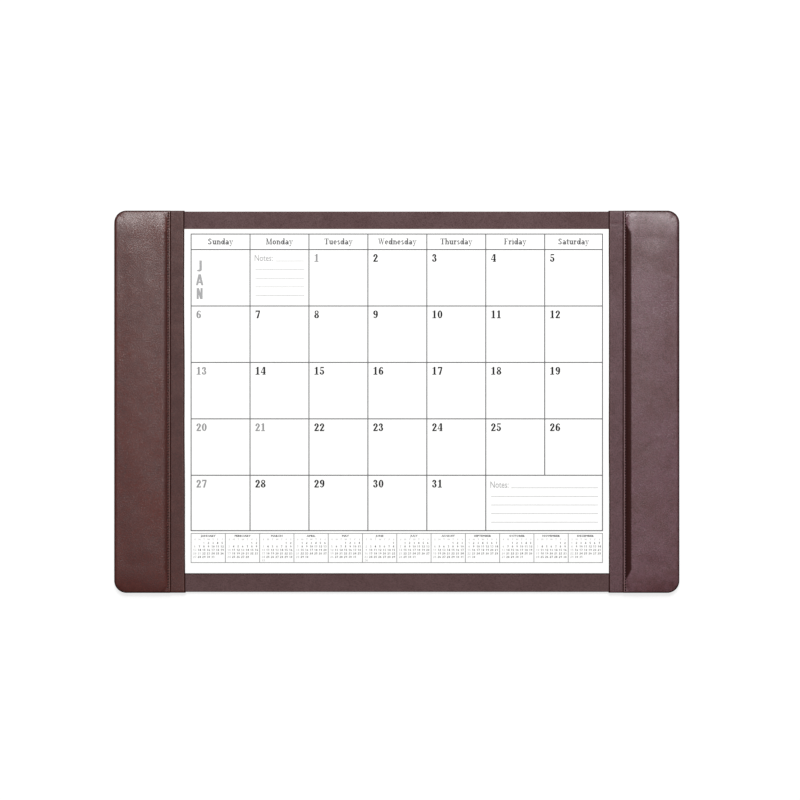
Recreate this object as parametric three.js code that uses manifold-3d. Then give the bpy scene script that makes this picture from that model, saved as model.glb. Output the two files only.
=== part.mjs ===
// Desk pad calendar: a leather-covered board with a padded leather rail at each side. A monthly
// calendar lies on the board, and its sides slide under the flat inner strip of both rails.
// Millimetres, +Z up, +Y towards the calendar's top edge, and the felt rests on z = 0.
import * as THREE from 'three';
import { mergeVertices } from 'three/addons/utils/BufferGeometryUtils.js';
import Module from 'manifold-3d';

const wasm = await Module();
wasm.setup();

// Pad
const padWidth = 647.7;
const padDepth = 438.15;
const cornerRadius = 14;
const leather = 0.8;
const wrapRadius = 0.5;
const turnIn = 20;
const baseBoardThickness = 2.5;
const feltThickness = 1;
const feltMargin = 5;

// Calendar
const topMargin = 21.3;
const bottomMargin = 22.4;
const tuck = 36.2;
const backingThickness = 0.5;
const sheetsThickness = 1.2;
const gumThickness = 0.3;
const pocketClearance = 0.7;
const calendarHeadroom = 0.3;

// Rails: each has a padded cover and, inside its seam, a flat strip that laps over the calendar
const coverWidth = 63.45;
const stripWidth = 17.2;
const foldGap = 0.2;
const seamAllowance = 10;
const lipWidth = 9;
const flangeWidth = 2.4;
const stitchInset = 1.5;
const stitchGrooveWidth = 0.8;
const stitchGrooveDepth = 0.25;
const paddingHeight = 4.1;
const crown = 0.5;
const crownShare = 0.4;
const seamSlope = 7.6;
const endSlope = 30;
const outerRoll = 3.5;
const flangeCornerRadius = 1;
const plateauCornerRadius = 11;
const foamGap = 0.5;
const buttGap = 0.3;

// Darts that let the turned-in leather lie flat round each corner
const dartCount = 3;
const dartWidth = 1.5;
const dartMargin = 6;

// Print on the top sheet
const inkThickness = 0.05;
const weeks = 5;
const weekdays = 7;
const months = 12;
const gridSideMargin = 7.3;
const gridTopMargin = 5.5;
const gridLine = 1.2;
const headerHeight = 17.8;
const lastColumnTrim = 1.3;
const lastRowTrim = 1.2;
const gridToMonths = 3.2;
const monthStripHeight = 33.4;
const monthLine = 0.8;
const monthStripMargin = 12.2;

// Faces along curves
const cornerSteps = 8;
const bendSteps = 4;
const slopeSteps = 5;

// Levels
const boardBottom = feltThickness + leather;
const boardTop = boardBottom + baseBoardThickness;
const baseTop = boardTop + leather;
const sheetsBottom = baseTop + backingThickness;
const sheetsTop = sheetsBottom + sheetsThickness;
const pocketTop = sheetsTop + calendarHeadroom;
const foldThickness = 2 * leather + foldGap;
const stripTop = pocketTop + foldThickness;
const flangeTop = stripTop + foldThickness;
const plateauTop = stripTop + paddingHeight;

// Places. The rails are drawn at the left, where x is negative.
const halfWidth = padWidth / 2;
const halfDepth = padDepth / 2;
const seamX = -halfWidth + coverWidth;
const railInnerX = seamX + stripWidth;
const calendarHalfWidth = -railInnerX + tuck;
const calendarTopY = halfDepth - topMargin;
const calendarBottomY = -halfDepth + bottomMargin;
const pocketHalfWidth = calendarHalfWidth + pocketClearance;
const pocketHalfDepth = Math.max(calendarTopY + gumThickness, -calendarBottomY) + pocketClearance;

const coverLeather = new THREE.MeshStandardMaterial({ color: 0x5f423f, roughness: 0.45 });
const stripLeather = new THREE.MeshStandardMaterial({ color: 0x553b38, roughness: 0.5 });
const baseLeatherBrown = new THREE.MeshStandardMaterial({ color: 0x5c4849, roughness: 0.6 });
const blackFelt = new THREE.MeshStandardMaterial({ color: 0x1d1b1c, roughness: 1 });
const greyBoard = new THREE.MeshStandardMaterial({ color: 0x8d8579, roughness: 0.95 });
const creamFoam = new THREE.MeshStandardMaterial({ color: 0xe3dcc6, roughness: 1 });
const whitePaper = new THREE.MeshStandardMaterial({ color: 0xfbfbfa, roughness: 0.9 });
const paleGum = new THREE.MeshStandardMaterial({ color: 0xe9e4d8, roughness: 0.6 });
const greyInk = new THREE.MeshStandardMaterial({ color: 0x77787a, roughness: 0.9 });

// Rectangle outline, anticlockwise from its lower right corner. Radii go in the same order, and a
// radius of 0 gives one point. Each point keeps its corner and how far round it the point lies.
function rectangleOutline(left, right, bottom, top, radii) {
  const corners = [[right, bottom, -1, 1], [right, top, -1, -1], [left, top, 1, -1], [left, bottom, 1, 1]];
  return corners.flatMap(([x, y, inwardX, inwardY], corner) => {
    const radius = radii[corner];
    if (radius === 0) return [{ x, y, corner, turn: 0 }];
    return Array.from({ length: cornerSteps + 1 }, (_, step) => {
      const turn = step / cornerSteps;
      const angle = (corner - 1 + turn) * Math.PI / 2;
      return {
        x: x + radius * (inwardX + Math.cos(angle)),
        y: y + radius * (inwardY + Math.sin(angle)),
        corner,
        turn,
      };
    });
  });
}

// The pad's outline, drawn in by an inset.
function padOutline(inset) {
  const x = halfWidth - inset;
  const y = halfDepth - inset;
  const radius = Math.max(cornerRadius - inset, 0);
  return rectangleOutline(-x, x, -y, y, [radius, radius, radius, radius]);
}

// The same outline cut off at a straight right side, for what lies in the left rail.
function railOutline(inset, right) {
  const y = halfDepth - inset;
  const radius = Math.max(cornerRadius - inset, 0);
  return rectangleOutline(-halfWidth + inset, right, -y, y, [0, 0, radius, radius]);
}

const atHeight = (outline, z) => outline.map(({ x, y }) => ({ x, y, z }));

// Closed solid through rings of as many points each, from the bottom ring up.
function loft(rings) {
  const count = rings[0].length;
  const lastRing = (rings.length - 1) * count;
  const indices = [];
  for (let start = 0; start < lastRing; start += count) {
    for (let i = 0; i < count; i += 1) {
      const here = start + i;
      const next = start + (i + 1) % count;
      indices.push(here, next, next + count, here, next + count, here + count);
    }
  }
  for (let i = 1; i + 1 < count; i += 1) {
    indices.push(0, i + 1, i, lastRing, lastRing + i, lastRing + i + 1);
  }
  const geometry = new THREE.BufferGeometry();
  const positions = rings.flat().flatMap(({ x, y, z }) => [x, y, z]);
  geometry.setAttribute('position', new THREE.Float32BufferAttribute(positions, 3));
  geometry.setIndex(indices);
  return geometry;
}

const slab = (outline, bottom, top) => loft([atHeight(outline, bottom), atHeight(outline, top)]);

function block(left, right, bottom, top, low, high) {
  const geometry = new THREE.BoxGeometry(right - left, top - bottom, high - low);
  return geometry.translate((left + right) / 2, (bottom + top) / 2, (low + high) / 2);
}

// A section drawn in y and z, swept along x.
function sweepAlongX(shape, from, to) {
  const options = { depth: to - from, bevelEnabled: false, curveSegments: bendSteps };
  const place = new THREE.Matrix4().set(0, 0, 1, from, 1, 0, 0, 0, 0, 1, 0, 0, 0, 0, 0, 1);
  return new THREE.ExtrudeGeometry(shape, options).applyMatrix4(place);
}

// A section drawn in x and z, swept along y.
function sweepAlongY(shape, from, to) {
  const options = { depth: to - from, bevelEnabled: false, curveSegments: bendSteps };
  const place = new THREE.Matrix4().set(1, 0, 0, 0, 0, 0, -1, to, 0, 1, 0, 0, 0, 0, 0, 1);
  return new THREE.ExtrudeGeometry(shape, options).applyMatrix4(place);
}

// A section for the top end, swept along x there and, turned about z, at the bottom end too.
function atBothEnds(shape, from, to) {
  const halfTurn = new THREE.Matrix4().makeScale(-1, -1, 1);
  return [sweepAlongX(shape, from, to), sweepAlongX(shape, -to, -from).applyMatrix4(halfTurn)];
}

function solid(geometry) {
  const bare = geometry.clone();
  bare.deleteAttribute('normal');
  bare.deleteAttribute('uv');
  const merged = mergeVertices(bare);
  return new wasm.Manifold(new wasm.Mesh({
    numProp: 3,
    vertProperties: new Float32Array(merged.attributes.position.array),
    triVerts: new Uint32Array(merged.index.array),
  }));
}

const join = (geometries) => geometries.map(solid).reduce((whole, part) => whole.add(part));

const cut = (body, geometries) => geometries.map(solid).reduce((rest, tool) => rest.subtract(tool), body);

function geometryOf(body) {
  const { vertProperties, triVerts } = body.getMesh();
  const geometry = new THREE.BufferGeometry();
  geometry.setAttribute('position', new THREE.BufferAttribute(vertProperties, 3));
  geometry.setIndex(new THREE.BufferAttribute(triVerts, 1));
  geometry.computeVertexNormals();
  return geometry;
}

function piece(name, geometry, material) {
  const mesh = new THREE.Mesh(geometry, material);
  mesh.name = name;
  return mesh;
}

// Felt: thin where it covers the turned-in leather, and filling the space inside that frame.
function feltBacking() {
  const rim = slab(padOutline(feltMargin), 0, feltThickness);
  const field = slab(padOutline(turnIn + buttGap), 0, boardBottom);
  return piece('felt_backing', geometryOf(join([rim, field])), blackFelt);
}

function baseBoard() {
  return piece('base_board', slab(padOutline(2 * leather), boardBottom, boardTop), greyBoard);
}

// Leather turned in under the board from a face at the top end, as a section in y and z.
function turnInSection(faceY) {
  const shape = new THREE.Shape();
  shape.moveTo(halfDepth - turnIn, feltThickness);
  shape.lineTo(faceY - wrapRadius, feltThickness);
  shape.absarc(faceY - wrapRadius, feltThickness + wrapRadius, wrapRadius, -Math.PI / 2, 0);
  shape.lineTo(faceY, boardBottom);
  shape.lineTo(halfDepth - turnIn, boardBottom);
  return shape;
}

// Base leather: drawn over the board and down its edges. It is turned in only between the rails,
// where no other leather takes that room.
function baseLeather() {
  const bend = Array.from({ length: bendSteps + 1 }, (_, step) => {
    const angle = step / bendSteps * Math.PI / 2;
    const inset = leather + leather * (1 - Math.cos(angle));
    return atHeight(padOutline(inset), boardTop + leather * Math.sin(angle));
  });
  const outside = loft([atHeight(padOutline(leather), boardBottom), ...bend]);
  const boardSpace = slab(padOutline(2 * leather), 0, boardTop);
  const section = turnInSection(halfDepth - leather);
  const turnedIn = atBothEnds(section, railInnerX + buttGap, -railInnerX - buttGap);
  const tray = cut(solid(outside), [boardSpace]);
  return piece('base_leather', geometryOf(tray.add(join(turnedIn))), baseLeatherBrown);
}

function calendar() {
  const layer = (bottom, top) => block(
    -calendarHalfWidth, calendarHalfWidth, calendarBottomY, calendarTopY, bottom, top,
  );
  const gum = block(
    -calendarHalfWidth, calendarHalfWidth, calendarTopY, calendarTopY + gumThickness, baseTop, sheetsTop,
  );
  return [
    piece('calendar_backing_board', layer(baseTop, sheetsBottom), greyBoard),
    piece('calendar_sheets', layer(sheetsBottom, sheetsTop), whitePaper),
    piece('calendar_gum_edge', gum, paleGum),
  ];
}

// Ruled lines as one film of ink: a sheet with a window for each cell between the columns, from the
// left, and the rows, from the top. The last cell of the last row may span more than one column.
function ruling(name, columns, rows, line, lastCellSpan) {
  const half = line / 2;
  const inkTop = sheetsTop + inkThickness;
  const film = block(
    columns[0] - half, columns.at(-1) + half, rows.at(-1) - half, rows[0] + half, sheetsTop, inkTop,
  );
  const windows = rows.slice(1).flatMap((bottom, row) => {
    const span = row === rows.length - 2 ? lastCellSpan : 1;
    const lefts = columns.slice(0, -span);
    return lefts.map((left, column) => {
      const right = column === lefts.length - 1 ? columns.at(-1) : columns[column + 1];
      return block(left + half, right - half, bottom + half, rows[row] - half, baseTop, inkTop + 1);
    });
  });
  return piece(name, geometryOf(cut(solid(film), windows)), greyInk);
}

// Month grid: a header row and five weeks, with the last two days of the last week left as one
// cell for notes. Below it stands a row of twelve small cells, one for each month.
function calendarPrint() {
  const left = railInnerX + gridSideMargin;
  const right = -left;
  const monthsBottom = calendarBottomY + monthStripMargin;
  const monthsTop = monthsBottom + monthStripHeight;
  const gridTop = calendarTopY - gridTopMargin;
  const gridBottom = monthsTop + gridToMonths;
  const firstWeekTop = gridTop - headerHeight;
  const columnWidth = (right - left + lastColumnTrim) / weekdays;
  const rowHeight = (firstWeekTop - gridBottom + lastRowTrim) / weeks;
  const monthWidth = (right - left) / months;
  const steps = (count, start, pitch) => Array.from({ length: count }, (_, i) => start + i * pitch);
  const columns = [...steps(weekdays, left, columnWidth), right];
  const rows = [gridTop, ...steps(weeks, firstWeekTop, -rowHeight), gridBottom];
  return [
    ruling('calendar_grid_print', columns, rows, gridLine, 2),
    ruling('month_strip_print', steps(months + 1, left, monthWidth), [monthsTop, monthsBottom], monthLine, 1),
  ];
}

// Quarter ellipse from a wall up to the plateau, for a face that lies an offset inside the leather.
function rollProfile(width, offset, steps) {
  return Array.from({ length: steps + 1 }, (_, step) => {
    const angle = step / steps * Math.PI / 2;
    return {
      inset: offset + (width - offset) * (1 - Math.cos(angle)),
      z: stripTop + (paddingHeight - offset) * Math.sin(angle),
    };
  });
}

// Slope from the seam up to the plateau, also with an offset.
function slopeProfile(offset) {
  return Array.from({ length: slopeSteps + 1 }, (_, step) => {
    const angle = step / slopeSteps * Math.PI / 2;
    return {
      inset: flangeWidth + offset + (seamSlope - offset) * (1 - Math.cos(angle)),
      z: flangeTop + (plateauTop - flangeTop - offset) * Math.sin(angle),
    };
  });
}

// The cover's seam side: a rounded fold, the flange with the groove that the stitches pull into
// it, and the slope.
function coverSeamProfile() {
  const radius = foldThickness / 2;
  const fold = Array.from({ length: bendSteps + 1 }, (_, step) => {
    const angle = (step / bendSteps - 0.5) * Math.PI;
    return { inset: radius * (1 - Math.cos(angle)), z: stripTop + radius * (1 + Math.sin(angle)) };
  });
  const groove = [
    { inset: stitchInset - stitchGrooveWidth / 2, z: flangeTop },
    { inset: stitchInset, z: flangeTop - stitchGrooveDepth },
    { inset: stitchInset + stitchGrooveWidth / 2, z: flangeTop },
  ];
  return [...fold, ...groove, ...slopeProfile(0)];
}

// Inside the cover the seam side is an upright wall under the slope.
const innerSeamProfile = (offset) => [{ inset: flangeWidth + offset, z: stripTop }, ...slopeProfile(offset)];

// One ring of the padded form. Each side has its own inset and height, and the height changes
// evenly round the corner between two sides.
function formRing(outer, end, seam, offset, seamRadius) {
  const heights = [[end.z, seam.z], [seam.z, end.z], [end.z, outer.z], [outer.z, end.z]];
  const outerRadius = cornerRadius - offset;
  const y = halfDepth - end.inset;
  const outline = rectangleOutline(
    -halfWidth + outer.inset, seamX - seam.inset, -y, y, [seamRadius, seamRadius, outerRadius, outerRadius],
  );
  return outline.map(({ x, y: pointY, corner, turn }) => {
    const [from, to] = heights[corner];
    return { x, y: pointY, z: from + (to - from) * turn };
  });
}

// Padded form of a rail above the strip's level, for the leather's outside or a face inside it.
function paddedForm(seam, offset, seamRadiusAt) {
  const steps = seam.length - 1;
  const outer = rollProfile(outerRoll, offset, steps);
  const end = rollProfile(endSlope, offset, steps);
  const sides = seam.map((point, i) => formRing(outer[i], end[i], point, offset, seamRadiusAt(i / steps)));
  const reach = crownShare * (coverWidth - outerRoll - flangeWidth - seamSlope);
  const crownRings = [[reach / 2, 0.75 * crown], [reach, crown]].map(([inward, rise]) => {
    const raised = (point) => ({ inset: point.inset + inward, z: plateauTop - offset + rise });
    return formRing(
      raised(outer[steps]), raised(end[steps]), raised(seam[steps]), offset, plateauCornerRadius,
    );
  });
  return loft([...sides, ...crownRings]);
}

// Darts cut in the turned-in leather at the left rail's two corners. Each is a thin wedge that
// opens from a point under the felt to the inner corner.
function cornerDarts() {
  const centreX = -halfWidth + cornerRadius;
  const innerX = -halfWidth + turnIn;
  const reach = cornerRadius - dartMargin;
  return [1, -1].flatMap((end) => Array.from({ length: dartCount }, (_, i) => {
    const angle = (i + 1) / (dartCount + 1) * Math.PI / 2;
    const tip = new THREE.Vector2(
      centreX - reach * Math.cos(angle), end * (halfDepth - cornerRadius + reach * Math.sin(angle)),
    );
    const mouth = new THREE.Vector2(innerX, end * (halfDepth - turnIn));
    const along = mouth.clone().sub(tip).normalize();
    const aside = new THREE.Vector2(-along.y, along.x).multiplyScalar(dartWidth / 2);
    const past = mouth.clone().add(along);
    const wedge = new THREE.Shape([tip, past.clone().sub(aside), past.clone().add(aside)]);
    return new THREE.ExtrudeGeometry(wedge, { depth: boardBottom, bevelEnabled: false });
  }));
}

// Cover: one sheet folded under at the seam, drawn over the padding, down the outer edge and both
// ends, and turned in under the board.
function railCover(name) {
  const wrap = Array.from({ length: bendSteps + 1 }, (_, step) => {
    const angle = step / bendSteps * Math.PI / 2;
    const outline = railOutline(wrapRadius * (1 - Math.sin(angle)), seamX);
    return atHeight(outline, feltThickness + wrapRadius * (1 - Math.cos(angle)));
  });
  const walls = loft([...wrap, atHeight(railOutline(0, seamX), stripTop)]);
  const flangeToPlateau = (share) => (
    flangeCornerRadius + (plateauCornerRadius - flangeCornerRadius) * share ** 2
  );
  const top = paddedForm(coverSeamProfile(), 0, flangeToPlateau);
  const padSpace = solid(paddedForm(innerSeamProfile(leather), leather, () => plateauCornerRadius));
  const lip = block(seamX - lipWidth, seamX, -halfDepth, halfDepth, stripTop, stripTop + leather);
  const foldSlit = block(
    seamX - flangeWidth - 2 * leather, seamX - foldThickness / 2, -halfDepth + endSlope / 2,
    halfDepth - endSlope / 2, stripTop + leather, stripTop + leather + foldGap,
  );
  const railSpace = slab(railOutline(leather, railInnerX), boardBottom, stripTop);
  const openUnderside = slab(railOutline(turnIn, railInnerX), 0, boardBottom);
  const space = cut(padSpace, [lip]);
  const hollow = join([walls, top]).subtract(space);
  const cover = cut(hollow, [foldSlit, railSpace, openUnderside, ...cornerDarts()]);
  return piece(name, geometryOf(cover), coverLeather);
}

// Foam: fills the cover, and steps over the lip that the cover turns under.
function railPadding(name) {
  const offset = leather + foamGap;
  const form = solid(paddedForm(innerSeamProfile(offset), offset, () => plateauCornerRadius));
  const overLip = block(
    seamX - lipWidth - foamGap, seamX, -halfDepth, halfDepth, stripTop, stripTop + leather + foamGap,
  );
  return piece(name, geometryOf(cut(form, [overLip])), creamFoam);
}

// Strip: one band folded double at its inner edge. Its back goes under the cover's seam, and its
// upper layer goes on over both ends and is turned in under the board.
function railStrip(name) {
  const radius = foldThickness / 2;
  const middle = stripTop - radius;
  const foldX = railInnerX - radius;
  const backX = seamX - seamAllowance;
  const band = new THREE.Shape();
  band.moveTo(backX, pocketTop);
  band.lineTo(foldX, pocketTop);
  band.absarc(foldX, middle, radius, -Math.PI / 2, Math.PI / 2);
  band.lineTo(backX, stripTop);
  band.lineTo(backX, stripTop - leather);
  band.lineTo(foldX, stripTop - leather);
  band.absarc(foldX, middle, radius - leather, Math.PI / 2, -Math.PI / 2, true);
  band.lineTo(backX, pocketTop + leather);

  const bendY = halfDepth - foldThickness;
  const lap = seamAllowance / 2;
  const end = turnInSection(halfDepth);
  end.curves.splice(-1);
  end.currentPoint.set(halfDepth, boardBottom);
  end.lineTo(halfDepth, pocketTop);
  end.absarc(bendY, pocketTop, foldThickness, 0, Math.PI / 2);
  end.lineTo(bendY - lap, stripTop);
  end.lineTo(bendY - lap, stripTop - leather);
  end.lineTo(bendY, stripTop - leather);
  end.absarc(bendY, pocketTop, foldThickness - leather, Math.PI / 2, 0, true);
  end.lineTo(halfDepth - leather, boardBottom);
  end.lineTo(halfDepth - turnIn, boardBottom);

  const layers = sweepAlongY(band, -bendY, bendY);
  const ends = atBothEnds(end, seamX + buttGap, foldX);
  return piece(name, geometryOf(join([layers, ...ends])), stripLeather);
}

function railBoard(name) {
  const outline = railOutline(leather, seamX - seamAllowance - buttGap);
  return piece(name, slab(outline, pocketTop, stripTop), greyBoard);
}

// Packing that holds the pocket open: a bar beside the calendar, and one past each of its ends.
function railSpacers(barName, topName, bottomName) {
  const endLeft = -pocketHalfWidth;
  const endRight = railInnerX - foldThickness;
  const endTop = halfDepth - leather;
  return [
    piece(barName, slab(railOutline(leather, endLeft), baseTop, pocketTop), greyBoard),
    piece(topName, block(endLeft, endRight, pocketHalfDepth, endTop, baseTop, pocketTop), greyBoard),
    piece(bottomName, block(endLeft, endRight, -endTop, -pocketHalfDepth, baseTop, pocketTop), greyBoard),
  ];
}

// The right rail is the left one turned half round, so its far end is its bottom end.
function rail(side) {
  const group = new THREE.Group();
  const [near, far] = side === 'left' ? ['top', 'bottom'] : ['bottom', 'top'];
  group.add(
    ...railSpacers(`${side}_rail_spacer`, `${side}_rail_${near}_spacer`, `${side}_rail_${far}_spacer`),
    railBoard(`${side}_rail_board`),
    railPadding(`${side}_rail_padding`),
    railStrip(`${side}_rail_strip`),
    railCover(`${side}_rail_cover`),
  );
  return group;
}

const leftRail = rail('left');
const rightRail = rail('right');
rightRail.rotation.z = Math.PI;

const deskPadCalendar = new THREE.Group();
deskPadCalendar.add(
  feltBacking(), baseBoard(), baseLeather(), ...calendar(), ...calendarPrint(), leftRail, rightRail,
);

export default deskPadCalendar;
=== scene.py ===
import calendar
import math

import bmesh
import bpy
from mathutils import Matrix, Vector, noise


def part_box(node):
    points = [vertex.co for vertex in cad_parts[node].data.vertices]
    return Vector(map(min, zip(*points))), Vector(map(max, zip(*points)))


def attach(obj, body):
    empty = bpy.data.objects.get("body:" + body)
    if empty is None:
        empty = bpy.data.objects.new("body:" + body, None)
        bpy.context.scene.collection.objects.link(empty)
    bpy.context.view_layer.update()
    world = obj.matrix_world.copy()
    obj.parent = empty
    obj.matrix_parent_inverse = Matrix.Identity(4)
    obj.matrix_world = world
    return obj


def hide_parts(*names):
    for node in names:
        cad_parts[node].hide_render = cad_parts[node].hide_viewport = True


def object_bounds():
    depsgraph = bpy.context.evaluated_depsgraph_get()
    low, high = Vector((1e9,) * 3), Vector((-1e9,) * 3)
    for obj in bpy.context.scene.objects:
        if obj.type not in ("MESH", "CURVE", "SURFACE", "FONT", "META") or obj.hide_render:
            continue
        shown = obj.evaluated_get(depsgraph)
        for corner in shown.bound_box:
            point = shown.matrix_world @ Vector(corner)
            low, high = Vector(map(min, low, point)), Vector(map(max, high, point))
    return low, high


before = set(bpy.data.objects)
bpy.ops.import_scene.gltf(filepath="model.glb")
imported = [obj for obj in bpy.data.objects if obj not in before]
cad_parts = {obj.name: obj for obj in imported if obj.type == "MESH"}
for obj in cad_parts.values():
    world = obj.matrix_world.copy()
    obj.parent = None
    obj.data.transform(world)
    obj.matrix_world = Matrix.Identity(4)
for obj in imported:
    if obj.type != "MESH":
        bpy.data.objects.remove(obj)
CAD_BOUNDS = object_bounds()

bl_info = {
    "name": "Desk Pad Calendar",
    "version": (1, 0, 0),
    "blender": (4, 5, 0),
    "location": "View3D > Sidebar > Desk Pad",
    "description": "Dresses a leather desk pad with padded side rails and a monthly calendar",
    "category": "Object",
}

MM = 0.001
# Point attribute of painted light on the leather: painted shade from 0 to 1, painted highlight from 0 to
# -1
PAINTED_LIGHT = "edge_dye"
# Crossing strokes of one letter lie this much above each other, so that no two faces coincide
LAYER = 0.002 * MM
# Points nearer than this to a line lie on it
NEAR = 0.01 * MM
# How far the finished fold of a padded cover stands out past the frame's own cover
FOLD_OVERHANG = 0.9 * MM
WEEKDAYS = 7
WEEKS = 5
# Days of the shown month that are printed grey
REST_DAYS = (1, 6, 13, 20, 21, 27)
# Capitals' height in the built-in typeface, as a share of its size
CAPITAL_SHARE = 0.73

# Places taken from the frame
PAD_LOW, PAD_HIGH = (Vector(corner) for corner in CAD_BOUNDS)
COVER_LOW, COVER_HIGH = (Vector(corner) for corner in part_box("left_rail_cover"))
STRIP_LOW, STRIP_HIGH = (Vector(corner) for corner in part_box("left_rail_strip"))
BOARD_LOW, BOARD_HIGH = (Vector(corner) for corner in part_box("left_rail_board"))
SHEETS_LOW, SHEETS_HIGH = (Vector(corner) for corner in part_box("calendar_sheets"))
GRID_LOW, GRID_HIGH = (Vector(corner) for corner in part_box("calendar_grid_print"))
MONTHS_LOW, MONTHS_HIGH = (Vector(corner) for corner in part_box("month_strip_print"))
HALF_DEPTH = PAD_HIGH.y
SEAM_X = COVER_HIGH.x + FOLD_OVERHANG
STRIP_TOP = BOARD_HIGH.z
POCKET_TOP = BOARD_LOW.z
TURN_IN_BOTTOM = COVER_LOW.z
PAPER_TOP = SHEETS_HIGH.z


def length(name, description, default):
    return bpy.props.FloatProperty(
        name=name, description=description, default=default, min=0.0, unit="LENGTH", precision=5)


def colour(name, description, default):
    return bpy.props.FloatVectorProperty(
        name=name, description=description, default=default, min=0.0, max=1.0, size=3,
        subtype="COLOR")


class DESKPAD_PG_rails(bpy.types.PropertyGroup):
    """Sizes of the padded rails and their seams."""
    leather: length("Leather", "Thickness of the leather", 0.8 * MM)
    corner_radius: length("Corner radius", "Radius of the pad's corners", 14 * MM)
    turn_in: length("Turn-in", "Width of leather turned in under the board", 20 * MM)
    wrap_radius: length("Wrap radius", "Bend where the leather goes under", 0.5 * MM)
    flange_width: length("Flange", "Flat leather between the fold and the slope", 3.3 * MM)
    stitch_inset: length("Stitch inset", "Stitch line from the cover's fold", 2.4 * MM)
    stitch_pitch: length("Stitch pitch", "Length of one stitch", 3.175 * MM)
    thread: length("Thread", "Thickness of the seam thread", 1.35 * MM)
    groove_depth: length("Groove", "How deep the stitches pull the leather in", 0.3 * MM)
    pucker: length("Pucker", "Rise of the leather between stitches", 0.16 * MM)
    seam_slope: length("Seam slope", "Width of the slope beside the seam", 7.6 * MM)
    end_slope: length("End slope", "Width of the slope at both ends", 30 * MM)
    outer_roll: length("Outer roll", "Width of the roll at the outer edge", 3.5 * MM)
    crown: length("Crown", "Rise of the padding in the middle", 0.5 * MM)
    plateau_corner: length("Plateau corner", "Rounding of the padding beside the seam", 11 * MM)
    ripple: length("Ripple", "Slow unevenness of the leather", 0.22 * MM)
    lip: length("Lip", "Leather turned under at the seam", 9 * MM)


class DESKPAD_PG_calendar(bpy.types.PropertyGroup):
    """Sizes of the calendar's sheets and print."""
    sheets: bpy.props.IntProperty(
        name="Sheets", description="Sheets in the pad", default=13, min=1)
    fray: length("Fray", "How far the sheets' edges stray", 0.12 * MM)
    ink: length("Ink", "Height of the print above the paper", 0.05 * MM)
    number_height: length("Numbers", "Height of the day numbers", 9.0 * MM)
    number_margin: length("Number margin", "Day numbers from their cell's left line", 6.0 * MM)
    number_drop: length(
        "Number drop", "Foot of the day numbers below their cell's top line", 14.1 * MM)
    first_weekday: bpy.props.IntProperty(
        name="First weekday", description="Weekday of the year's first day, 0 for Sunday",
        default=2, min=0, max=6)
    header: length("Header", "Height of the weekday row", 17.8 * MM)
    line: length("Line", "Width of the grid's lines", 1.2 * MM)
    last_column_trim: length("Column trim", "How much narrower the last column is", 1.3 * MM)
    last_row_trim: length("Row trim", "How much lower the last row is", 1.2 * MM)


class DESKPAD_PG_colours(bpy.types.PropertyGroup):
    """Colours of the pad's materials."""
    # The right side's leathers and bloom are lighter and bluer than the left side's: painted sheen on
    # the right and painted shade on the left, for light that falls more on the right
    left_rail: colour("Left rail", "Leather of the left rail", (0.072, 0.0155, 0.013))
    left_bloom: colour("Left bloom", "Paler patches of the left rail", (0.115, 0.036, 0.03))
    right_rail: colour("Right rail", "Leather of the right rail", (0.102, 0.038, 0.043))
    right_bloom: colour("Right bloom", "Paler patches of the right rail", (0.165, 0.086, 0.106))
    left_strip: colour("Left strip", "Leather of the left strip", (0.055, 0.013, 0.011))
    right_strip: colour("Right strip", "Leather of the right strip", (0.084, 0.032, 0.037))
    base: colour("Base leather", "Leather of the base", (0.084, 0.038, 0.039))
    base_bloom: colour("Base bloom", "Paler patches of the base", (0.108, 0.052, 0.054))
    # The thread is near-black, partly its own dark colour and partly painted shade of the needle holes;
    # its lighter strands are a painted highlight along the twist
    thread: colour("Thread", "Seam thread", (0.006, 0.0025, 0.002))
    thread_light: colour("Thread light", "Raised strands of the thread", (0.011, 0.004, 0.004))
    paper: colour("Paper", "Calendar sheets", (0.95, 0.95, 0.94))
    black_ink: colour("Black ink", "Working days", (0.012, 0.012, 0.013))
    name_ink: colour("Name ink", "Weekday names", (0.11, 0.11, 0.115))
    number_grey: colour("Number grey", "Rest days", (0.25, 0.25, 0.255))
    pale_ink: colour("Pale ink", "Month's letters and notes", (0.33, 0.33, 0.335))
    faint_ink: colour("Faint ink", "Rules for notes and small rest days", (0.42, 0.42, 0.425))
    table_ink: colour("Table ink", "Days of the small months", (0.1, 0.1, 0.105))
    line_ink: colour("Line ink", "Grid lines", (0.115, 0.115, 0.12))
    strip_ink: colour("Strip ink", "Lines of the month strip", (0.21, 0.21, 0.215))
    felt: colour("Felt", "Felt backing", (0.018, 0.016, 0.017))
    board: colour("Board", "Pasteboard", (0.27, 0.23, 0.18))
    foam: colour("Foam", "Padding", (0.76, 0.71, 0.56))
    gum: colour("Gum", "Gum that holds the sheets", (0.6, 0.57, 0.52))


def settings():
    scene = bpy.context.scene
    return scene.deskpad_rails, scene.deskpad_calendar, scene.deskpad_colours


# Shader helpers

def node(tree, kind, **inputs):
    made = tree.nodes.new(kind)
    for name, value in inputs.items():
        socket = made.inputs[name.replace("_", " ")]
        if isinstance(value, bpy.types.NodeSocket):
            tree.links.new(value, socket)
        else:
            socket.default_value = value
    return made


def maths(tree, operation, first, second=0.0):
    made = tree.nodes.new("ShaderNodeMath")
    made.operation = operation
    for socket, value in zip(made.inputs, (first, second)):
        if isinstance(value, bpy.types.NodeSocket):
            tree.links.new(value, socket)
        else:
            socket.default_value = value
    return made.outputs[0]


def blend_colours(tree, share, first, second):
    made = tree.nodes.new("ShaderNodeMix")
    made.data_type = "RGBA"
    for index, value in ((0, share), (6, first), (7, second)):
        if isinstance(value, bpy.types.NodeSocket):
            tree.links.new(value, made.inputs[index])
        else:
            made.inputs[index].default_value = value if index == 0 else (*value, 1.0)[:4]
    return made.outputs[2]


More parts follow.
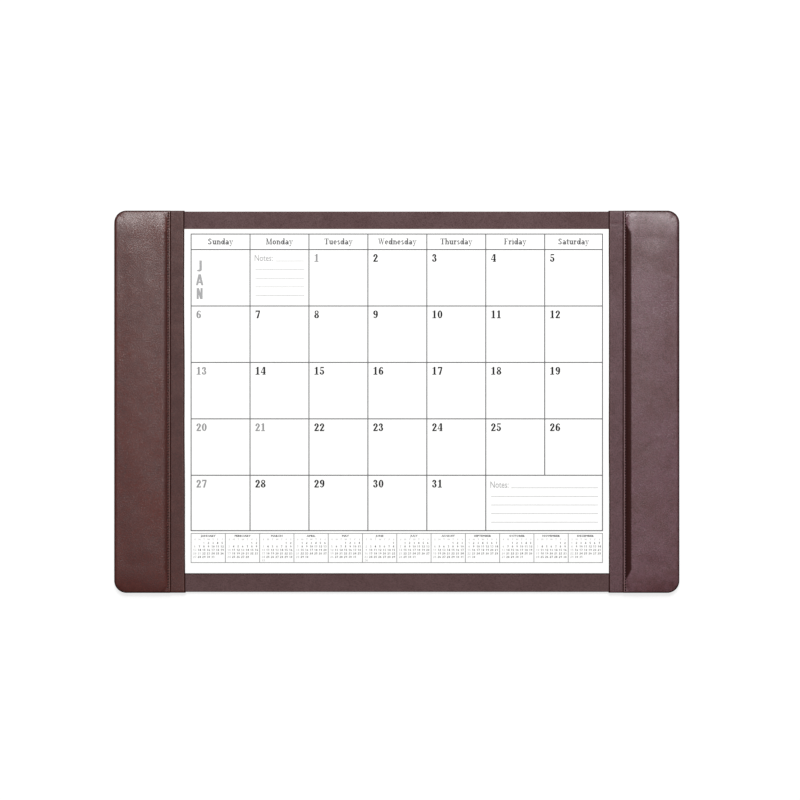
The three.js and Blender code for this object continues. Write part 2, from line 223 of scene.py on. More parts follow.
def spread(tree, value, low, high, to_low=0.0, to_high=1.0):
    made = node(tree, "ShaderNodeMapRange", Value=value)
    made.interpolation_type = "SMOOTHSTEP"
    limits = {"From Min": low, "From Max": high, "To Min": to_low, "To Max": to_high}
    for name, number in limits.items():
        made.inputs[name].default_value = number
    return made.outputs["Result"]


def new_group(name, inputs, outputs):
    group = bpy.data.node_groups.new(name, "ShaderNodeTree")
    for label, kind, default in inputs:
        socket = group.interface.new_socket(label, in_out="INPUT", socket_type=kind)
        socket.default_value = default
    for label, kind in outputs:
        group.interface.new_socket(label, in_out="OUTPUT", socket_type=kind)
    return group, group.nodes.new("NodeGroupInput").outputs, group.nodes.new("NodeGroupOutput").inputs


def leather_group():
    """Pebbled grain with pores, slow mottling and a paler bloom, with the painted shade and painted
    highlight of the Painted Light input.
    """
    group, given, result = new_group(
        "Leather grain",
        [("Colour", "NodeSocketColor", (0.1, 0.05, 0.045, 1.0)),
         ("Bloom", "NodeSocketColor", (0.2, 0.15, 0.15, 1.0)),
         ("Bloom Amount", "NodeSocketFloat", 0.5),
         ("Grain Size", "NodeSocketFloat", 0.0009),
         ("Grain Depth", "NodeSocketFloat", 0.00008),
         ("Roughness", "NodeSocketFloat", 0.36),
         ("Dye", "NodeSocketFloat", 0.0)],
        [("Colour", "NodeSocketColor"), ("Roughness", "NodeSocketFloat"),
         ("Normal", "NodeSocketVector")])
    place = node(group, "ShaderNodeTexCoord").outputs["Object"]
    scale = maths(group, "DIVIDE", 1.0, given["Grain Size"])
    warp = node(group, "ShaderNodeTexNoise", Vector=place, Scale=420.0, Detail=2.0)
    warped = group.nodes.new("ShaderNodeVectorMath")
    warped.operation = "MULTIPLY_ADD"
    warped.inputs[1].default_value = (0.0006, 0.0006, 0.0006)
    group.links.new(warp.outputs["Color"], warped.inputs[0])
    group.links.new(place, warped.inputs[2])
    pebbles = node(group, "ShaderNodeTexVoronoi", Vector=warped.outputs[0], Scale=scale)
    pebbles.feature = "SMOOTH_F1"
    pebbles.inputs["Smoothness"].default_value = 0.4
    rounded = spread(group, pebbles.outputs["Distance"], 0.15, 0.75, 1.0, 0.0)
    fine = node(group, "ShaderNodeTexNoise", Vector=place, Scale=2600.0, Detail=3.0)
    wide = node(group, "ShaderNodeTexNoise", Vector=place, Scale=22.0, Detail=4.0, Roughness=0.6)
    patch = node(group, "ShaderNodeTexNoise", Vector=place, Scale=150.0, Detail=3.0, Roughness=0.6)
    height = maths(group, "ADD", rounded, maths(group, "MULTIPLY", fine.outputs[0], 0.35))
    mottled = maths(group, "ADD", maths(group, "MULTIPLY", wide.outputs[0], 0.6),
                    maths(group, "MULTIPLY", patch.outputs[0], 0.4))
    bloom = maths(group, "MULTIPLY", spread(group, mottled, 0.36, 0.64), given["Bloom Amount"])
    toned = blend_colours(group, bloom, given["Colour"], given["Bloom"])
    # Painted highlight: below 0 the painted light turns the colour towards a pale tan
    painted_highlight = spread(group, given["Dye"], -1.0, 0.0, 1.0, 0.0)
    toned = blend_colours(group, painted_highlight, toned, (0.24, 0.15, 0.13))
    deep = blend_colours(group, 0.5, toned, (0.02, 0.008, 0.007))
    crevice = spread(group, rounded, 0.0, 0.55, 1.0, 0.0)
    grained = blend_colours(group, crevice, toned, deep)
    # Painted shade: above 0 the painted light turns the colour towards near-black
    painted_shade = spread(group, given["Dye"], 0.0, 1.0)
    final = blend_colours(group, painted_shade, grained, (0.022, 0.0055, 0.0042))
    rough = maths(group, "ADD", spread(group, mottled, 0.3, 0.7, 0.1, -0.05),
                  maths(group, "ADD", given["Roughness"], maths(group, "MULTIPLY", crevice, 0.1)))
    bump = node(group, "ShaderNodeBump", Height=height, Distance=given["Grain Depth"], Strength=1.0)
    group.links.new(final, result["Colour"])
    group.links.new(rough, result["Roughness"])
    group.links.new(bump.outputs["Normal"], result["Normal"])
    return group


def fibre_group():
    """Matted or pressed fibres, for felt, board, foam and paper."""
    group, given, result = new_group(
        "Fibre",
        [("Colour", "NodeSocketColor", (0.5, 0.5, 0.5, 1.0)),
         ("Variation", "NodeSocketFloat", 0.2),
         ("Fibre Size", "NodeSocketFloat", 0.0005),
         ("Depth", "NodeSocketFloat", 0.00005)],
        [("Colour", "NodeSocketColor"), ("Normal", "NodeSocketVector")])
    place = node(group, "ShaderNodeTexCoord").outputs["Object"]
    scale = maths(group, "DIVIDE", 1.0, given["Fibre Size"])
    fibres = node(group, "ShaderNodeTexNoise", Vector=place, Scale=scale, Detail=4.0, Distortion=1.5)
    clouds = node(group, "ShaderNodeTexNoise", Vector=place, Scale=60.0, Detail=3.0)
    both = maths(group, "ADD", maths(group, "MULTIPLY", fibres.outputs[0], 0.7),
                 maths(group, "MULTIPLY", clouds.outputs[0], 0.3))
    shade = maths(group, "MULTIPLY", spread(group, both, 0.35, 0.65, 1.0, 0.0), given["Variation"])
    final = blend_colours(group, shade, given["Colour"], (0.0, 0.0, 0.0))
    bump = node(group, "ShaderNodeBump", Height=fibres.outputs[0], Distance=given["Depth"])
    group.links.new(final, result["Colour"])
    group.links.new(bump.outputs["Normal"], result["Normal"])
    return group


def material(name, roughness=0.5):
    made = bpy.data.materials.new(name)
    made.use_nodes = True
    shader = made.node_tree.nodes["Principled BSDF"]
    shader.inputs["Roughness"].default_value = roughness
    return made, made.node_tree, shader


def place_group(tree, group, **inputs):
    made = tree.nodes.new("ShaderNodeGroup")
    made.node_tree = group
    for name, value in inputs.items():
        socket = made.inputs[name.replace("_", " ")]
        socket.default_value = (*value, 1.0) if isinstance(value, tuple) else value
    return made


def leather_material(name, base, bloom, bloom_amount, grain, depth, roughness, gloss):
    made, tree, shader = material(name)
    grained = place_group(
        tree, bpy.data.node_groups["Leather grain"], Colour=tuple(base), Bloom=tuple(bloom),
        Bloom_Amount=bloom_amount, Grain_Size=grain, Grain_Depth=depth, Roughness=roughness)
    # Reads the painted shade and painted highlight stored on the points
    dye = node(tree, "ShaderNodeAttribute")
    dye.attribute_name = PAINTED_LIGHT
    tree.links.new(dye.outputs["Fac"], grained.inputs["Dye"])
    tree.links.new(grained.outputs["Colour"], shader.inputs["Base Color"])
    tree.links.new(grained.outputs["Roughness"], shader.inputs["Roughness"])
    # Where shade is painted, the specular level is lowered with it
    painted_shade = spread(tree, dye.outputs["Fac"], 0.0, 1.0)
    dulled = spread(tree, painted_shade, 0.0, 0.9, gloss, 0.15 * gloss)
    tree.links.new(dulled, shader.inputs["Specular IOR Level"])
    tree.links.new(grained.outputs["Normal"], shader.inputs["Normal"])
    return made


def fibre_material(name, base, variation, size, depth, roughness):
    made, tree, shader = material(name, roughness)
    fibres = place_group(
        tree, bpy.data.node_groups["Fibre"], Colour=tuple(base), Variation=variation,
        Fibre_Size=size, Depth=depth)
    tree.links.new(fibres.outputs["Colour"], shader.inputs["Base Color"])
    tree.links.new(fibres.outputs["Normal"], shader.inputs["Normal"])
    shader.inputs["Specular IOR Level"].default_value = 0.25
    return made


# Mesh helpers

def deselect():
    if bpy.context.object and bpy.context.object.mode != "OBJECT":
        bpy.ops.object.mode_set(mode="OBJECT")
    bpy.ops.object.select_all(action="DESELECT")


def activate(piece):
    deselect()
    piece.select_set(True)
    bpy.context.view_layer.objects.active = piece


def settle(piece):
    """Leaves the object at the origin, unturned and unscaled, with its place in its mesh."""
    activate(piece)
    bpy.ops.object.transform_apply(location=True, rotation=True, scale=True)


def apply_modifiers(piece):
    activate(piece)
    for modifier in list(piece.modifiers):
        bpy.ops.object.modifier_apply(modifier=modifier.name)


def dress(piece, finish, slot, *nodes):
    piece.data.materials.clear()
    piece.data.materials.append(finish)
    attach(piece, "root")
    if nodes:
        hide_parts(*nodes)


def shaped_grid(name, columns, rows, place):
    """A grid whose point at column c and row r goes where place(c, r) says."""
    deselect()
    bpy.ops.mesh.primitive_grid_add(x_subdivisions=columns, y_subdivisions=rows, size=1.0)
    piece = bpy.context.object
    piece.name = piece.data.name = name
    for vertex in piece.data.vertices:
        column = round((vertex.co.x + 0.5) * columns)
        row = round((vertex.co.y + 0.5) * rows)
        vertex.co = place(column, row)
    return piece


def extrude_rim(piece, wanted, moves):
    """Extrudes the open edges whose two ends both satisfy wanted, once for each move in turn."""
    activate(piece)
    bpy.ops.object.mode_set(mode="EDIT")
    bpy.ops.mesh.select_mode(type="EDGE")
    bpy.ops.mesh.select_all(action="DESELECT")
    mesh = bmesh.from_edit_mesh(piece.data)
    for edge in mesh.edges:
        if edge.is_boundary and wanted(edge.verts[0].co) and wanted(edge.verts[1].co):
            edge.select_set(True)
    bmesh.update_edit_mesh(piece.data)
    for move in moves:
        bpy.ops.mesh.extrude_edges_move()
        mesh = bmesh.from_edit_mesh(piece.data)
        for vertex in mesh.verts:
            if vertex.select:
                vertex.co = move(vertex.co.copy())
        bmesh.update_edit_mesh(piece.data)
    bpy.ops.object.mode_set(mode="OBJECT")


def outward(piece):
    activate(piece)
    bpy.ops.object.mode_set(mode="EDIT")
    bpy.ops.mesh.select_all(action="SELECT")
    bpy.ops.mesh.remove_doubles(threshold=0.00001)
    bpy.ops.mesh.normals_make_consistent(inside=False)
    bpy.ops.object.mode_set(mode="OBJECT")


def dye_edges(piece, amount):
    """Stores the painted light at each point: painted shade from 0 to 1, painted highlight from 0 to -1."""
    layer = piece.data.attributes.new(PAINTED_LIGHT, "FLOAT", "POINT")
    for vertex, value in zip(piece.data.vertices, layer.data):
        value.value = min(max(amount(vertex.co), -1.0), 1.0)


def from_outline(point, radius):
    """Distance of a point of the left rail from the pad's outline."""
    from_side, from_end = point.x - PAD_LOW.x, HALF_DEPTH - abs(point.y)
    if from_side < radius and from_end < radius:
        return radius - math.hypot(radius - from_side, radius - from_end)
    return min(from_side, from_end)


def swell(share):
    """Quarter ellipse: 0 at the edge and 1 from share 1 inwards."""
    return math.sqrt(1.0 - (1.0 - min(max(share, 0.0), 1.0)) ** 2)


def smooth(share):
    share = min(max(share, 0.0), 1.0)
    return share * share * (3.0 - 2.0 * share)


def rise(value, start, width):
    """0 up to start and 1 from start + width on, with a smooth step between them."""
    return smooth((value - start) / width)


def uneven(x, y, size, seed):
    return noise.noise(Vector((x / size, y / size, seed)))


def even_steps(start, stop, count):
    return [start + (stop - start) * i / count for i in range(count + 1)]


class DESKPAD_OT_stage(bpy.types.Operator):
    """Floor, lamps, world and camera."""
    bl_idname = "deskpad.stage"
    bl_label = "Stage"

    floor_size = 12.0
    floor_drop = 0.2 * MM
    floor_grey = 0.25
    floor_lift = 0.8
    photo_pixels = 800
    pixel = 1.1468 * MM
    middle_pixel = (396.3, 401.2)
    camera_height = 3.2
    sensor = 36.0

    def execute(self, context):
        deselect()
        bpy.ops.mesh.primitive_plane_add(size=self.floor_size, location=(0, 0, -self.floor_drop))
        floor = context.object
        floor.name = "floor"
        settle(floor)
        finish, tree, shader = material("Pale floor", 0.9)
        shader.inputs["Base Color"].default_value = (*[self.floor_grey] * 3, 1.0)
        shader.inputs["Specular IOR Level"].default_value = 0.0
        light_path = node(tree, "ShaderNodeLightPath").outputs
        lift = maths(tree, "MULTIPLY", light_path["Is Camera Ray"], self.floor_lift)
        shader.inputs["Emission Color"].default_value = (1.0, 1.0, 1.0, 1.0)
        tree.links.new(lift, shader.inputs["Emission Strength"])
        floor.data.materials.append(finish)
        self.lamp(context, "key_softbox", place=(0.1, 3.6, 4.4), size=(2.8, 3.8), watts=252.0)
        self.lamp(context, "high_softbox", place=(0.0, 1.65, 4.0), size=(1.9, 0.9), watts=102.0)
        self.world(context)
        self.camera(context)
        return {"FINISHED"}

    def lamp(self, context, name, place, size, watts):
        """A softbox that faces the middle of the pad."""
        bpy.ops.object.light_add(type="AREA", location=place)
        lamp = context.object
        lamp.name = name
        lamp.data.shape = "RECTANGLE"
        lamp.data.size, lamp.data.size_y = size
        lamp.data.energy = watts
        lamp.rotation_euler = (-Vector(place)).to_track_quat("-Z", "Y").to_euler()

    def world(self, context):
        world = bpy.data.worlds.new("Studio")
        context.scene.world = world
        world.use_nodes = True
        tree = world.node_tree
        background = tree.nodes["Background"]
        light_path = node(tree, "ShaderNodeLightPath").outputs
        strength = spread(tree, light_path["Is Camera Ray"], 0.0, 1.0, 0.1, 1.0)
        background.inputs["Color"].default_value = (1.0, 1.0, 1.0, 1.0)
        tree.links.new(strength, background.inputs["Strength"])

    def camera(self, context):
        middle = (self.photo_pixels - 1) / 2
        x = (middle - self.middle_pixel[0]) * self.pixel
        y = (self.middle_pixel[1] - middle) * self.pixel
        width = self.photo_pixels * self.pixel
        bpy.ops.object.camera_add(location=(x, y, self.camera_height), rotation=(0, 0, 0))
        camera = context.object
        camera.name = "camera"
        camera.data.sensor_width = self.sensor
        camera.data.lens = self.sensor * (self.camera_height - PAPER_TOP) / width
        context.scene.camera = camera
        context.scene.view_settings.view_transform = "Standard"


class DESKPAD_OT_rail_covers(bpy.types.Operator):
    """Padded leather covers: one sheet each, folded at the seam and wrapped round the edges."""
    bl_idname = "deskpad.rail_covers"
    bl_label = "Rail Covers"

    plateau_columns = 30
    roll_steps = 9
    slope_steps = 10
    flange_steps = 8
    fold_steps = 5
    bend_steps = 3
    end_rows = 18
    rows_a_stitch = 3
    groove_width = 0.5 * MM
    # Rings of the wrapped leather: down its sides and inwards beneath
    side_drops = (2.5 * MM, 5 * MM)
    under_inset = 5 * MM
    crown_reach = 20 * MM
    # How far the glue holds the leather tight, from the ends, the outer edge and the flange
    tight_end, tight_side, tight_flange = 14 * MM, 6 * MM, 9 * MM
    long_ripple, short_ripple = 45 * MM, 12 * MM
    short_share = 0.35
    pucker_reach = 3.2 * MM
    pucker_rise = 0.8 * MM
    # Small gathers where the leather is drawn over the ends
    gather = 0.05 * MM
    gather_size = 5 * MM
    gather_side = 10 * MM
    gather_start, gather_stop = 2.5 * MM, 16 * MM
    # Painted shade on the slope beside the seam, stronger on the right rail, and near the end at
    # negative y
    slope_dye = {"left": 0.42, "right": 0.85}
    slope_dye_fade = {"left": 5.0 * MM, "right": 2.4 * MM}
    slope_dye_start = {"left": 0.4 * MM, "right": -0.3 * MM}
    end_dye = {"left": 0.3, "right": 0.7}

    def execute(self, context):
        rails, _, colours = settings()
        section = self.section(rails)
        rows = self.rows(rails)
        for seed, side in enumerate(("left", "right")):
            # Each side takes its own colours, with painted sheen on the right side and painted shade on
            # the left
            leather = leather_material(
                f"Rail leather {side}", getattr(colours, f"{side}_rail"),
                getattr(colours, f"{side}_bloom"), bloom_amount=0.8, grain=0.9 * MM,
                depth=0.06 * MM, roughness=0.27, gloss=0.5)
            self.cover(rails, section, rows, side, seed, leather)
        return {"FINISHED"}

    def section(self, rails):
        """Columns from the outer edge to the fold: place across and height."""
        width = SEAM_X - COVER_LOW.x
        full = COVER_HIGH.z - rails.crown - STRIP_TOP
        radius = fold_radius(rails)
        flange = 2 * radius
        slope_start = width - rails.flange_width - rails.seam_slope
        quarter = math.pi / 2
        columns = [(rails.outer_roll * (1 - math.cos(angle)), full * math.sin(angle))
                   for angle in even_steps(0.0, quarter, self.roll_steps)]
        columns += [(across, full) for across in
                    even_steps(rails.outer_roll, slope_start, self.plateau_columns)[1:]]
        columns += [(slope_start + rails.seam_slope * math.sin(angle),
                     flange + (full - flange) * math.cos(angle))
                    for angle in even_steps(0.0, quarter, self.slope_steps)[1:]]
        for across in even_steps(width - rails.flange_width, width - radius, self.flange_steps)[1:]:
            off = abs(width - across - rails.stitch_inset) / self.groove_width
            columns.append((across, flange - rails.groove_depth * max(0.0, 1.0 - off)))
        columns += [(width - radius * (1 - math.cos(angle)), radius * (1 + math.sin(angle)))
                    for angle in even_steps(quarter, 0.0, self.fold_steps)[1:]]
        return columns

    def rows(self, rails):
        """Distances along the rail, close together at the round ends and even between them."""
        inner = HALF_DEPTH - rails.end_slope
        end = [HALF_DEPTH - rails.end_slope * (1 - math.cos(angle))
               for angle in even_steps(0.0, math.pi / 2, self.end_rows)][:-1]
        count = round(2 * inner / (rails.stitch_pitch / self.rows_a_stitch))
        return sorted({*end, *(-y for y in end), *even_steps(-inner, inner, count)})

    def surface(self, rails, seed, across, high, along):
        """A point of the leather's outer face."""
        width = SEAM_X - COVER_LOW.x
        flange = 2 * fold_radius(rails)
        from_end = HALF_DEPTH - abs(along)
        from_seam = width - across
        from_flange = from_seam - rails.flange_width
        seam_half = across > width / 2
        flat = min(flange, high) * smooth((across - 0.25 * width) / (0.5 * width))
        corner = rails.plateau_corner
        late = 0.0
        if seam_half and from_flange < corner:
            late = corner * (1 - math.sqrt(1 - (1 - max(from_flange, 0.0) / corner) ** 2))
        padded = swell((from_end - late) / (rails.end_slope - 0.5 * late))
        level = flat * swell(from_end / flange) + (high - flat) * padded
        dome = (smooth((across - rails.outer_roll) / self.crown_reach)
                * smooth((from_flange - rails.seam_slope) / self.crown_reach)
                * smooth((from_end - rails.end_slope) / self.crown_reach))
        level += rails.crown * dome
        loose = (smooth(from_end / self.tight_end) * smooth(across / self.tight_side)
                 * smooth(from_flange / self.tight_flange))
        level += rails.ripple * loose * (
            uneven(across * 1.8, along, self.long_ripple, 3.1 + seed)
            + self.short_share * uneven(across, along, self.short_ripple, 7.7 + seed))
        if seam_half and from_flange > 0:
            fade = math.exp(-from_flange / self.pucker_reach) * smooth(from_end / self.gather_stop)
            wave = math.cos(2 * math.pi * along / rails.stitch_pitch)
            level += rails.pucker * wave * fade * smooth(from_flange / self.pucker_rise)
        pull = smooth(from_end / self.gather_start) * (1 - smooth(from_end / self.gather_stop))
        level += self.gather * pull * smooth(across / self.gather_side) * uneven(
            across * 1.7, along * 0.25, self.gather_size, 21.5 + seed)
        x, y = across, along
        radius = rails.corner_radius
        if across < radius and from_end < radius:
            away_x, away_y = radius - across, radius - from_end
            scale = max(away_x, away_y) / math.hypot(away_x, away_y)
            x = radius - away_x * scale
            y = math.copysign(HALF_DEPTH - radius + away_y * scale, along)
        return Vector((COVER_LOW.x + x, y, STRIP_TOP + level))

    def cover(self, rails, section, rows, side, seed, leather):
        piece = shaped_grid(
            f"{side}_rail_padded_cover", len(section) - 1, len(rows) - 1,
            lambda column, row: self.surface(rails, seed, *section[column], rows[row]))
        self.wrap(rails, piece)
        self.turn_under(rails, piece)
        outward(piece)
        thicken(piece, rails.leather * 0.9)
        dye_edges(piece, lambda point: self.dye(rails, side, point))
        finish_rail_piece(piece, side)
        dress(piece, leather, "rail_leather", f"{side}_rail_cover")

    def wrap(self, rails, piece):
        """Takes the outer side and both ends down and under the board."""
        radius = rails.corner_radius
        centre_x, centre_y = COVER_LOW.x + radius, HALF_DEPTH - radius

        def on_outline(point):
            in_corner = (point.x < centre_x and abs(point.y) > centre_y
                         and point.z < STRIP_TOP + NEAR)
            return HALF_DEPTH - abs(point.y) < NEAR or point.x < COVER_LOW.x + NEAR or in_corner

        def inset_to(inset, z):
            def move(point):
                x, y = point.x, abs(point.y)
                if x < centre_x and y > centre_y:
                    away = Vector((x - centre_x, y - centre_y)).normalized() * max(radius - inset, 0.0)
                    x, y = centre_x + away.x, centre_y + away.y
                x = max(x, COVER_LOW.x + inset)
                y = min(y, HALF_DEPTH - inset)
                return Vector((x, math.copysign(y, point.y), z))
            return move

        moves = [inset_to(0.0, STRIP_TOP - drop) for drop in self.side_drops]
        moves += [inset_to(rails.wrap_radius * (1 - math.cos(angle)),
                           TURN_IN_BOTTOM + rails.wrap_radius * (1 - math.sin(angle)))
                  for angle in even_steps(0.0, math.pi / 2, self.bend_steps)]
        moves += [inset_to(inset, TURN_IN_BOTTOM) for inset in (self.under_inset, rails.turn_in)]
        extrude_rim(piece, on_outline, moves)

    def turn_under(self, rails, piece):
        """Folds the seam's edge under and carries it on as a flat lip."""
        radius = fold_radius(rails)

        def on_fold(point):
            return (point.x > SEAM_X - NEAR and HALF_DEPTH - abs(point.y) > rails.leather
                    and abs(point.z - STRIP_TOP - radius) < 0.02 * MM)

        def under(angle):
            return lambda point: Vector((
                SEAM_X - radius * (1 - math.cos(angle)), point.y,
                STRIP_TOP + radius * (1 - math.sin(angle))))

        moves = [under(angle) for angle in even_steps(0.0, math.pi / 2, 4)[1:]]
        moves.append(lambda point: Vector((SEAM_X - rails.lip, point.y, STRIP_TOP)))
        extrude_rim(piece, on_fold, moves)

    def dye(self, rails, side, point):
        """Painted shade where the leather wraps the outline and the fold, in the stitch groove, on the
        slope and near one end. Painted highlight along the flange and just inside the outline."""
        inside = from_outline(point, rails.corner_radius)
        from_fold = SEAM_X - point.x
        from_end = HALF_DEPTH - abs(point.y)
        foot = from_fold - rails.stitch_inset
        # Painted shade on the steep roll of the outline, in the gap at the fold and in the stitch groove
        outline = 1.0 - rise(inside, 0.8 * MM, 1.1 * MM)
        fold = 1.0 - rise(from_fold, 0.2 * MM, 0.5 * MM)
        groove = 1.0 - rise(abs(foot), 0.0, 0.6 * MM)
        widening = min(max((from_end - 12 * MM) / (14 * MM), 0.0), 1.0)
        slope_edge = (rails.seam_slope + 0.4 * MM) * widening
        # Painted shade on the slope beside the seam, widening away from the ends
        flank = (rise(slope_edge - foot, 0.0, self.slope_dye_fade[side])
                 * rise(foot, self.slope_dye_start[side], 1.2 * MM))
        # Painted shade near the end that lies at negative y while the cover is built
        near_end = 1.0 - rise(inside, 0.0, 6 * MM) if point.y < 0 else 0.0
        dark = max(outline, 0.9 * fold, 0.1 * groove, self.slope_dye[side] * flank,
                   self.end_dye[side] * near_end)
        # Painted highlight along the flange and just inside the outline
        flange = rise(from_fold, 0.5 * MM, 0.4 * MM) * (1.0 - rise(from_fold, 1.6 * MM, 0.5 * MM))
        rim = rise(inside, 1.2 * MM, 0.6 * MM) * (1.0 - rise(inside, 2.0 * MM, 1.2 * MM))
        return dark - max(0.4 * flange, 0.12 * rim)


def fold_radius(rails):
    return rails.leather + 0.1 * MM


def thicken(piece, thickness):
    modifier = piece.modifiers.new("Leather", "SOLIDIFY")
    modifier.thickness = thickness
    modifier.offset = -1.0
    apply_modifiers(piece)


def finish_rail_piece(piece, side):
    """Turns a piece of the right rail half round, and smooths the piece."""
    if side == "right":
        piece.rotation_euler.z = math.pi
    settle(piece)
    bpy.ops.object.shade_smooth_by_angle(angle=math.radians(50))


class DESKPAD_OT_rail_strips(bpy.types.Operator):
    """Flat inner strips: leather folded double at the inner edge and wrapped over both ends."""
    bl_idname = "deskpad.rail_strips"
    bl_label = "Rail Strips"

    columns = 14
    rows = 300
    # The inner edge wanders this much, in waves of this length
    stray = 0.22 * MM
    stray_length = 90 * MM
    lean = {"left": -0.55 * MM, "right": 0.0}
    crease_places = {"left": (), "right": (-203.8 * MM,)}
    crease_depth = 0.22 * MM

    def execute(self, context):
        rails, _, colours = settings()
        for seed, side in enumerate(("left", "right")):
            # Each side takes its own colours, with painted sheen on the right side and painted shade on
            # the left
            leather = leather_material(
                f"Strip leather {side}", getattr(colours, f"{side}_strip"),
                getattr(colours, f"{side}_bloom"), bloom_amount=0.35, grain=0.9 * MM,
                depth=0.06 * MM, roughness=0.42, gloss=0.36)
            self.strip(rails, side, seed, leather)
        return {"FINISHED"}

    def strip(self, rails, side, seed, leather):
        fold = STRIP_TOP - POCKET_TOP
        radius = fold / 2
        left, right = SEAM_X + 0.3 * MM, STRIP_HIGH.x
        across = [(x, STRIP_TOP) for x in even_steps(left, right - radius, self.columns)]
        across += [(right - radius + radius * math.sin(angle),
                    STRIP_TOP - radius + radius * math.cos(angle))
                   for angle in even_steps(0.0, math.pi / 2, 4)[1:]]
        end = [HALF_DEPTH - fold * (1 - math.cos(angle))
               for angle in even_steps(0.0, math.pi / 2, 5)]
        inner = end.pop()
        rows = sorted({*end, *(-y for y in end), *even_steps(-inner, inner, self.rows)})

        def edge_shift(along):
            return (self.lean[side] * along / HALF_DEPTH
                    + self.stray * 2 * uneven(0.0, along, self.stray_length, 11.3 + 5 * seed))

        def place(column, row):
            x, z = across[column]
            along = rows[row]
            from_end = HALF_DEPTH - abs(along)
            level = POCKET_TOP + (z - POCKET_TOP) * swell(from_end / fold)
            loose = smooth(from_end / (8 * MM))
            level += 0.12 * MM * loose * uneven(x, along, 18 * MM, 1.7 + seed)
            for crease in self.crease_places[side]:
                away = (along - crease) / (1.6 * MM)
                level -= self.crease_depth * loose * math.exp(-away * away)
            x += smooth((x - left) / (right - left)) * edge_shift(along)
            return Vector((x, along, level))

        piece = shaped_grid(f"{side}_rail_flat_strip", len(across) - 1, len(rows) - 1, place)

        def end_move(inset, z):
            return lambda point: Vector((point.x, math.copysign(HALF_DEPTH - inset, point.y), z))

        def under(turn):
            return lambda point: Vector((
                right - radius + edge_shift(point.y) + radius * math.cos(turn), point.y,
                POCKET_TOP + radius * (1 - math.sin(turn))))

        wrap = [end_move(0.0, POCKET_TOP - 2.5 * MM)]
        wrap += [end_move(rails.wrap_radius * (1 - math.cos(angle)),
                          TURN_IN_BOTTOM + rails.wrap_radius * (1 - math.sin(angle)))
                 for angle in even_steps(0.0, math.pi / 2, 3)]
        wrap.append(end_move(rails.turn_in, TURN_IN_BOTTOM))
        extrude_rim(piece, lambda point: HALF_DEPTH - abs(point.y) < NEAR, wrap)
        extrude_rim(
            piece,
            lambda point: point.x < left + NEAR and abs(point.y) < inner + NEAR
            and point.z > POCKET_TOP + radius,
            [lambda point: Vector((STRIP_LOW.x, point.y, STRIP_TOP))])
        turns = [under(angle) for angle in even_steps(0.0, math.pi / 2, 4)[1:]]
        turns.append(lambda point: Vector((STRIP_LOW.x, point.y, POCKET_TOP)))
        extrude_rim(
            piece,
            lambda point: abs(point.x - right) < 1.5 * MM and abs(point.y) < inner + NEAR
            and abs(point.z - POCKET_TOP - radius) < 0.4 * MM,
            turns)
        outward(piece)
        thicken(piece, rails.leather * 0.9)

        # Painted shade at the inner nose, in the gap beside the seam and along the outline; painted
        # highlight along the rolled inner edge
        def dye(point):
            from_nose = right + edge_shift(point.y) - point.x
            nose = 1.0 - rise(from_nose, 0.75 * MM, 0.5 * MM)
            back = 1.0 - rise(point.x, SEAM_X + 0.5 * MM, 0.6 * MM)
            outline = 1.0 - rise(HALF_DEPTH - abs(point.y), 0.3 * MM, 0.9 * MM)
            roll = rise(from_nose, 0.9 * MM, 0.4 * MM) * (1.0 - rise(from_nose, 1.7 * MM, 0.9 * MM))
            return max(0.95 * nose, 0.8 * back, 0.85 * outline) - 0.4 * roll * (1.0 - outline)

        dye_edges(piece, dye)
        finish_rail_piece(piece, side)
        dress(piece, leather, "rail_leather", f"{side}_rail_strip")


def placed_copy(template, place, angle=0.0, scale=(1.0, 1.0, 1.0)):
    """A copy of the template with its own mesh."""
    twin = template.copy()
    twin.data = template.data.copy()
    bpy.context.scene.collection.objects.link(twin)
    twin.location, twin.rotation_euler.z, twin.scale = place, angle, scale
    return twin


def joined(name, pieces):
    """One piece from several, with its place in its mesh."""
    deselect()
    for piece in pieces:
        piece.select_set(True)
    bpy.context.view_layer.objects.active = pieces[0]
    bpy.ops.object.join()
    piece = bpy.context.object
    piece.name = piece.data.name = name
    settle(piece)
    return piece


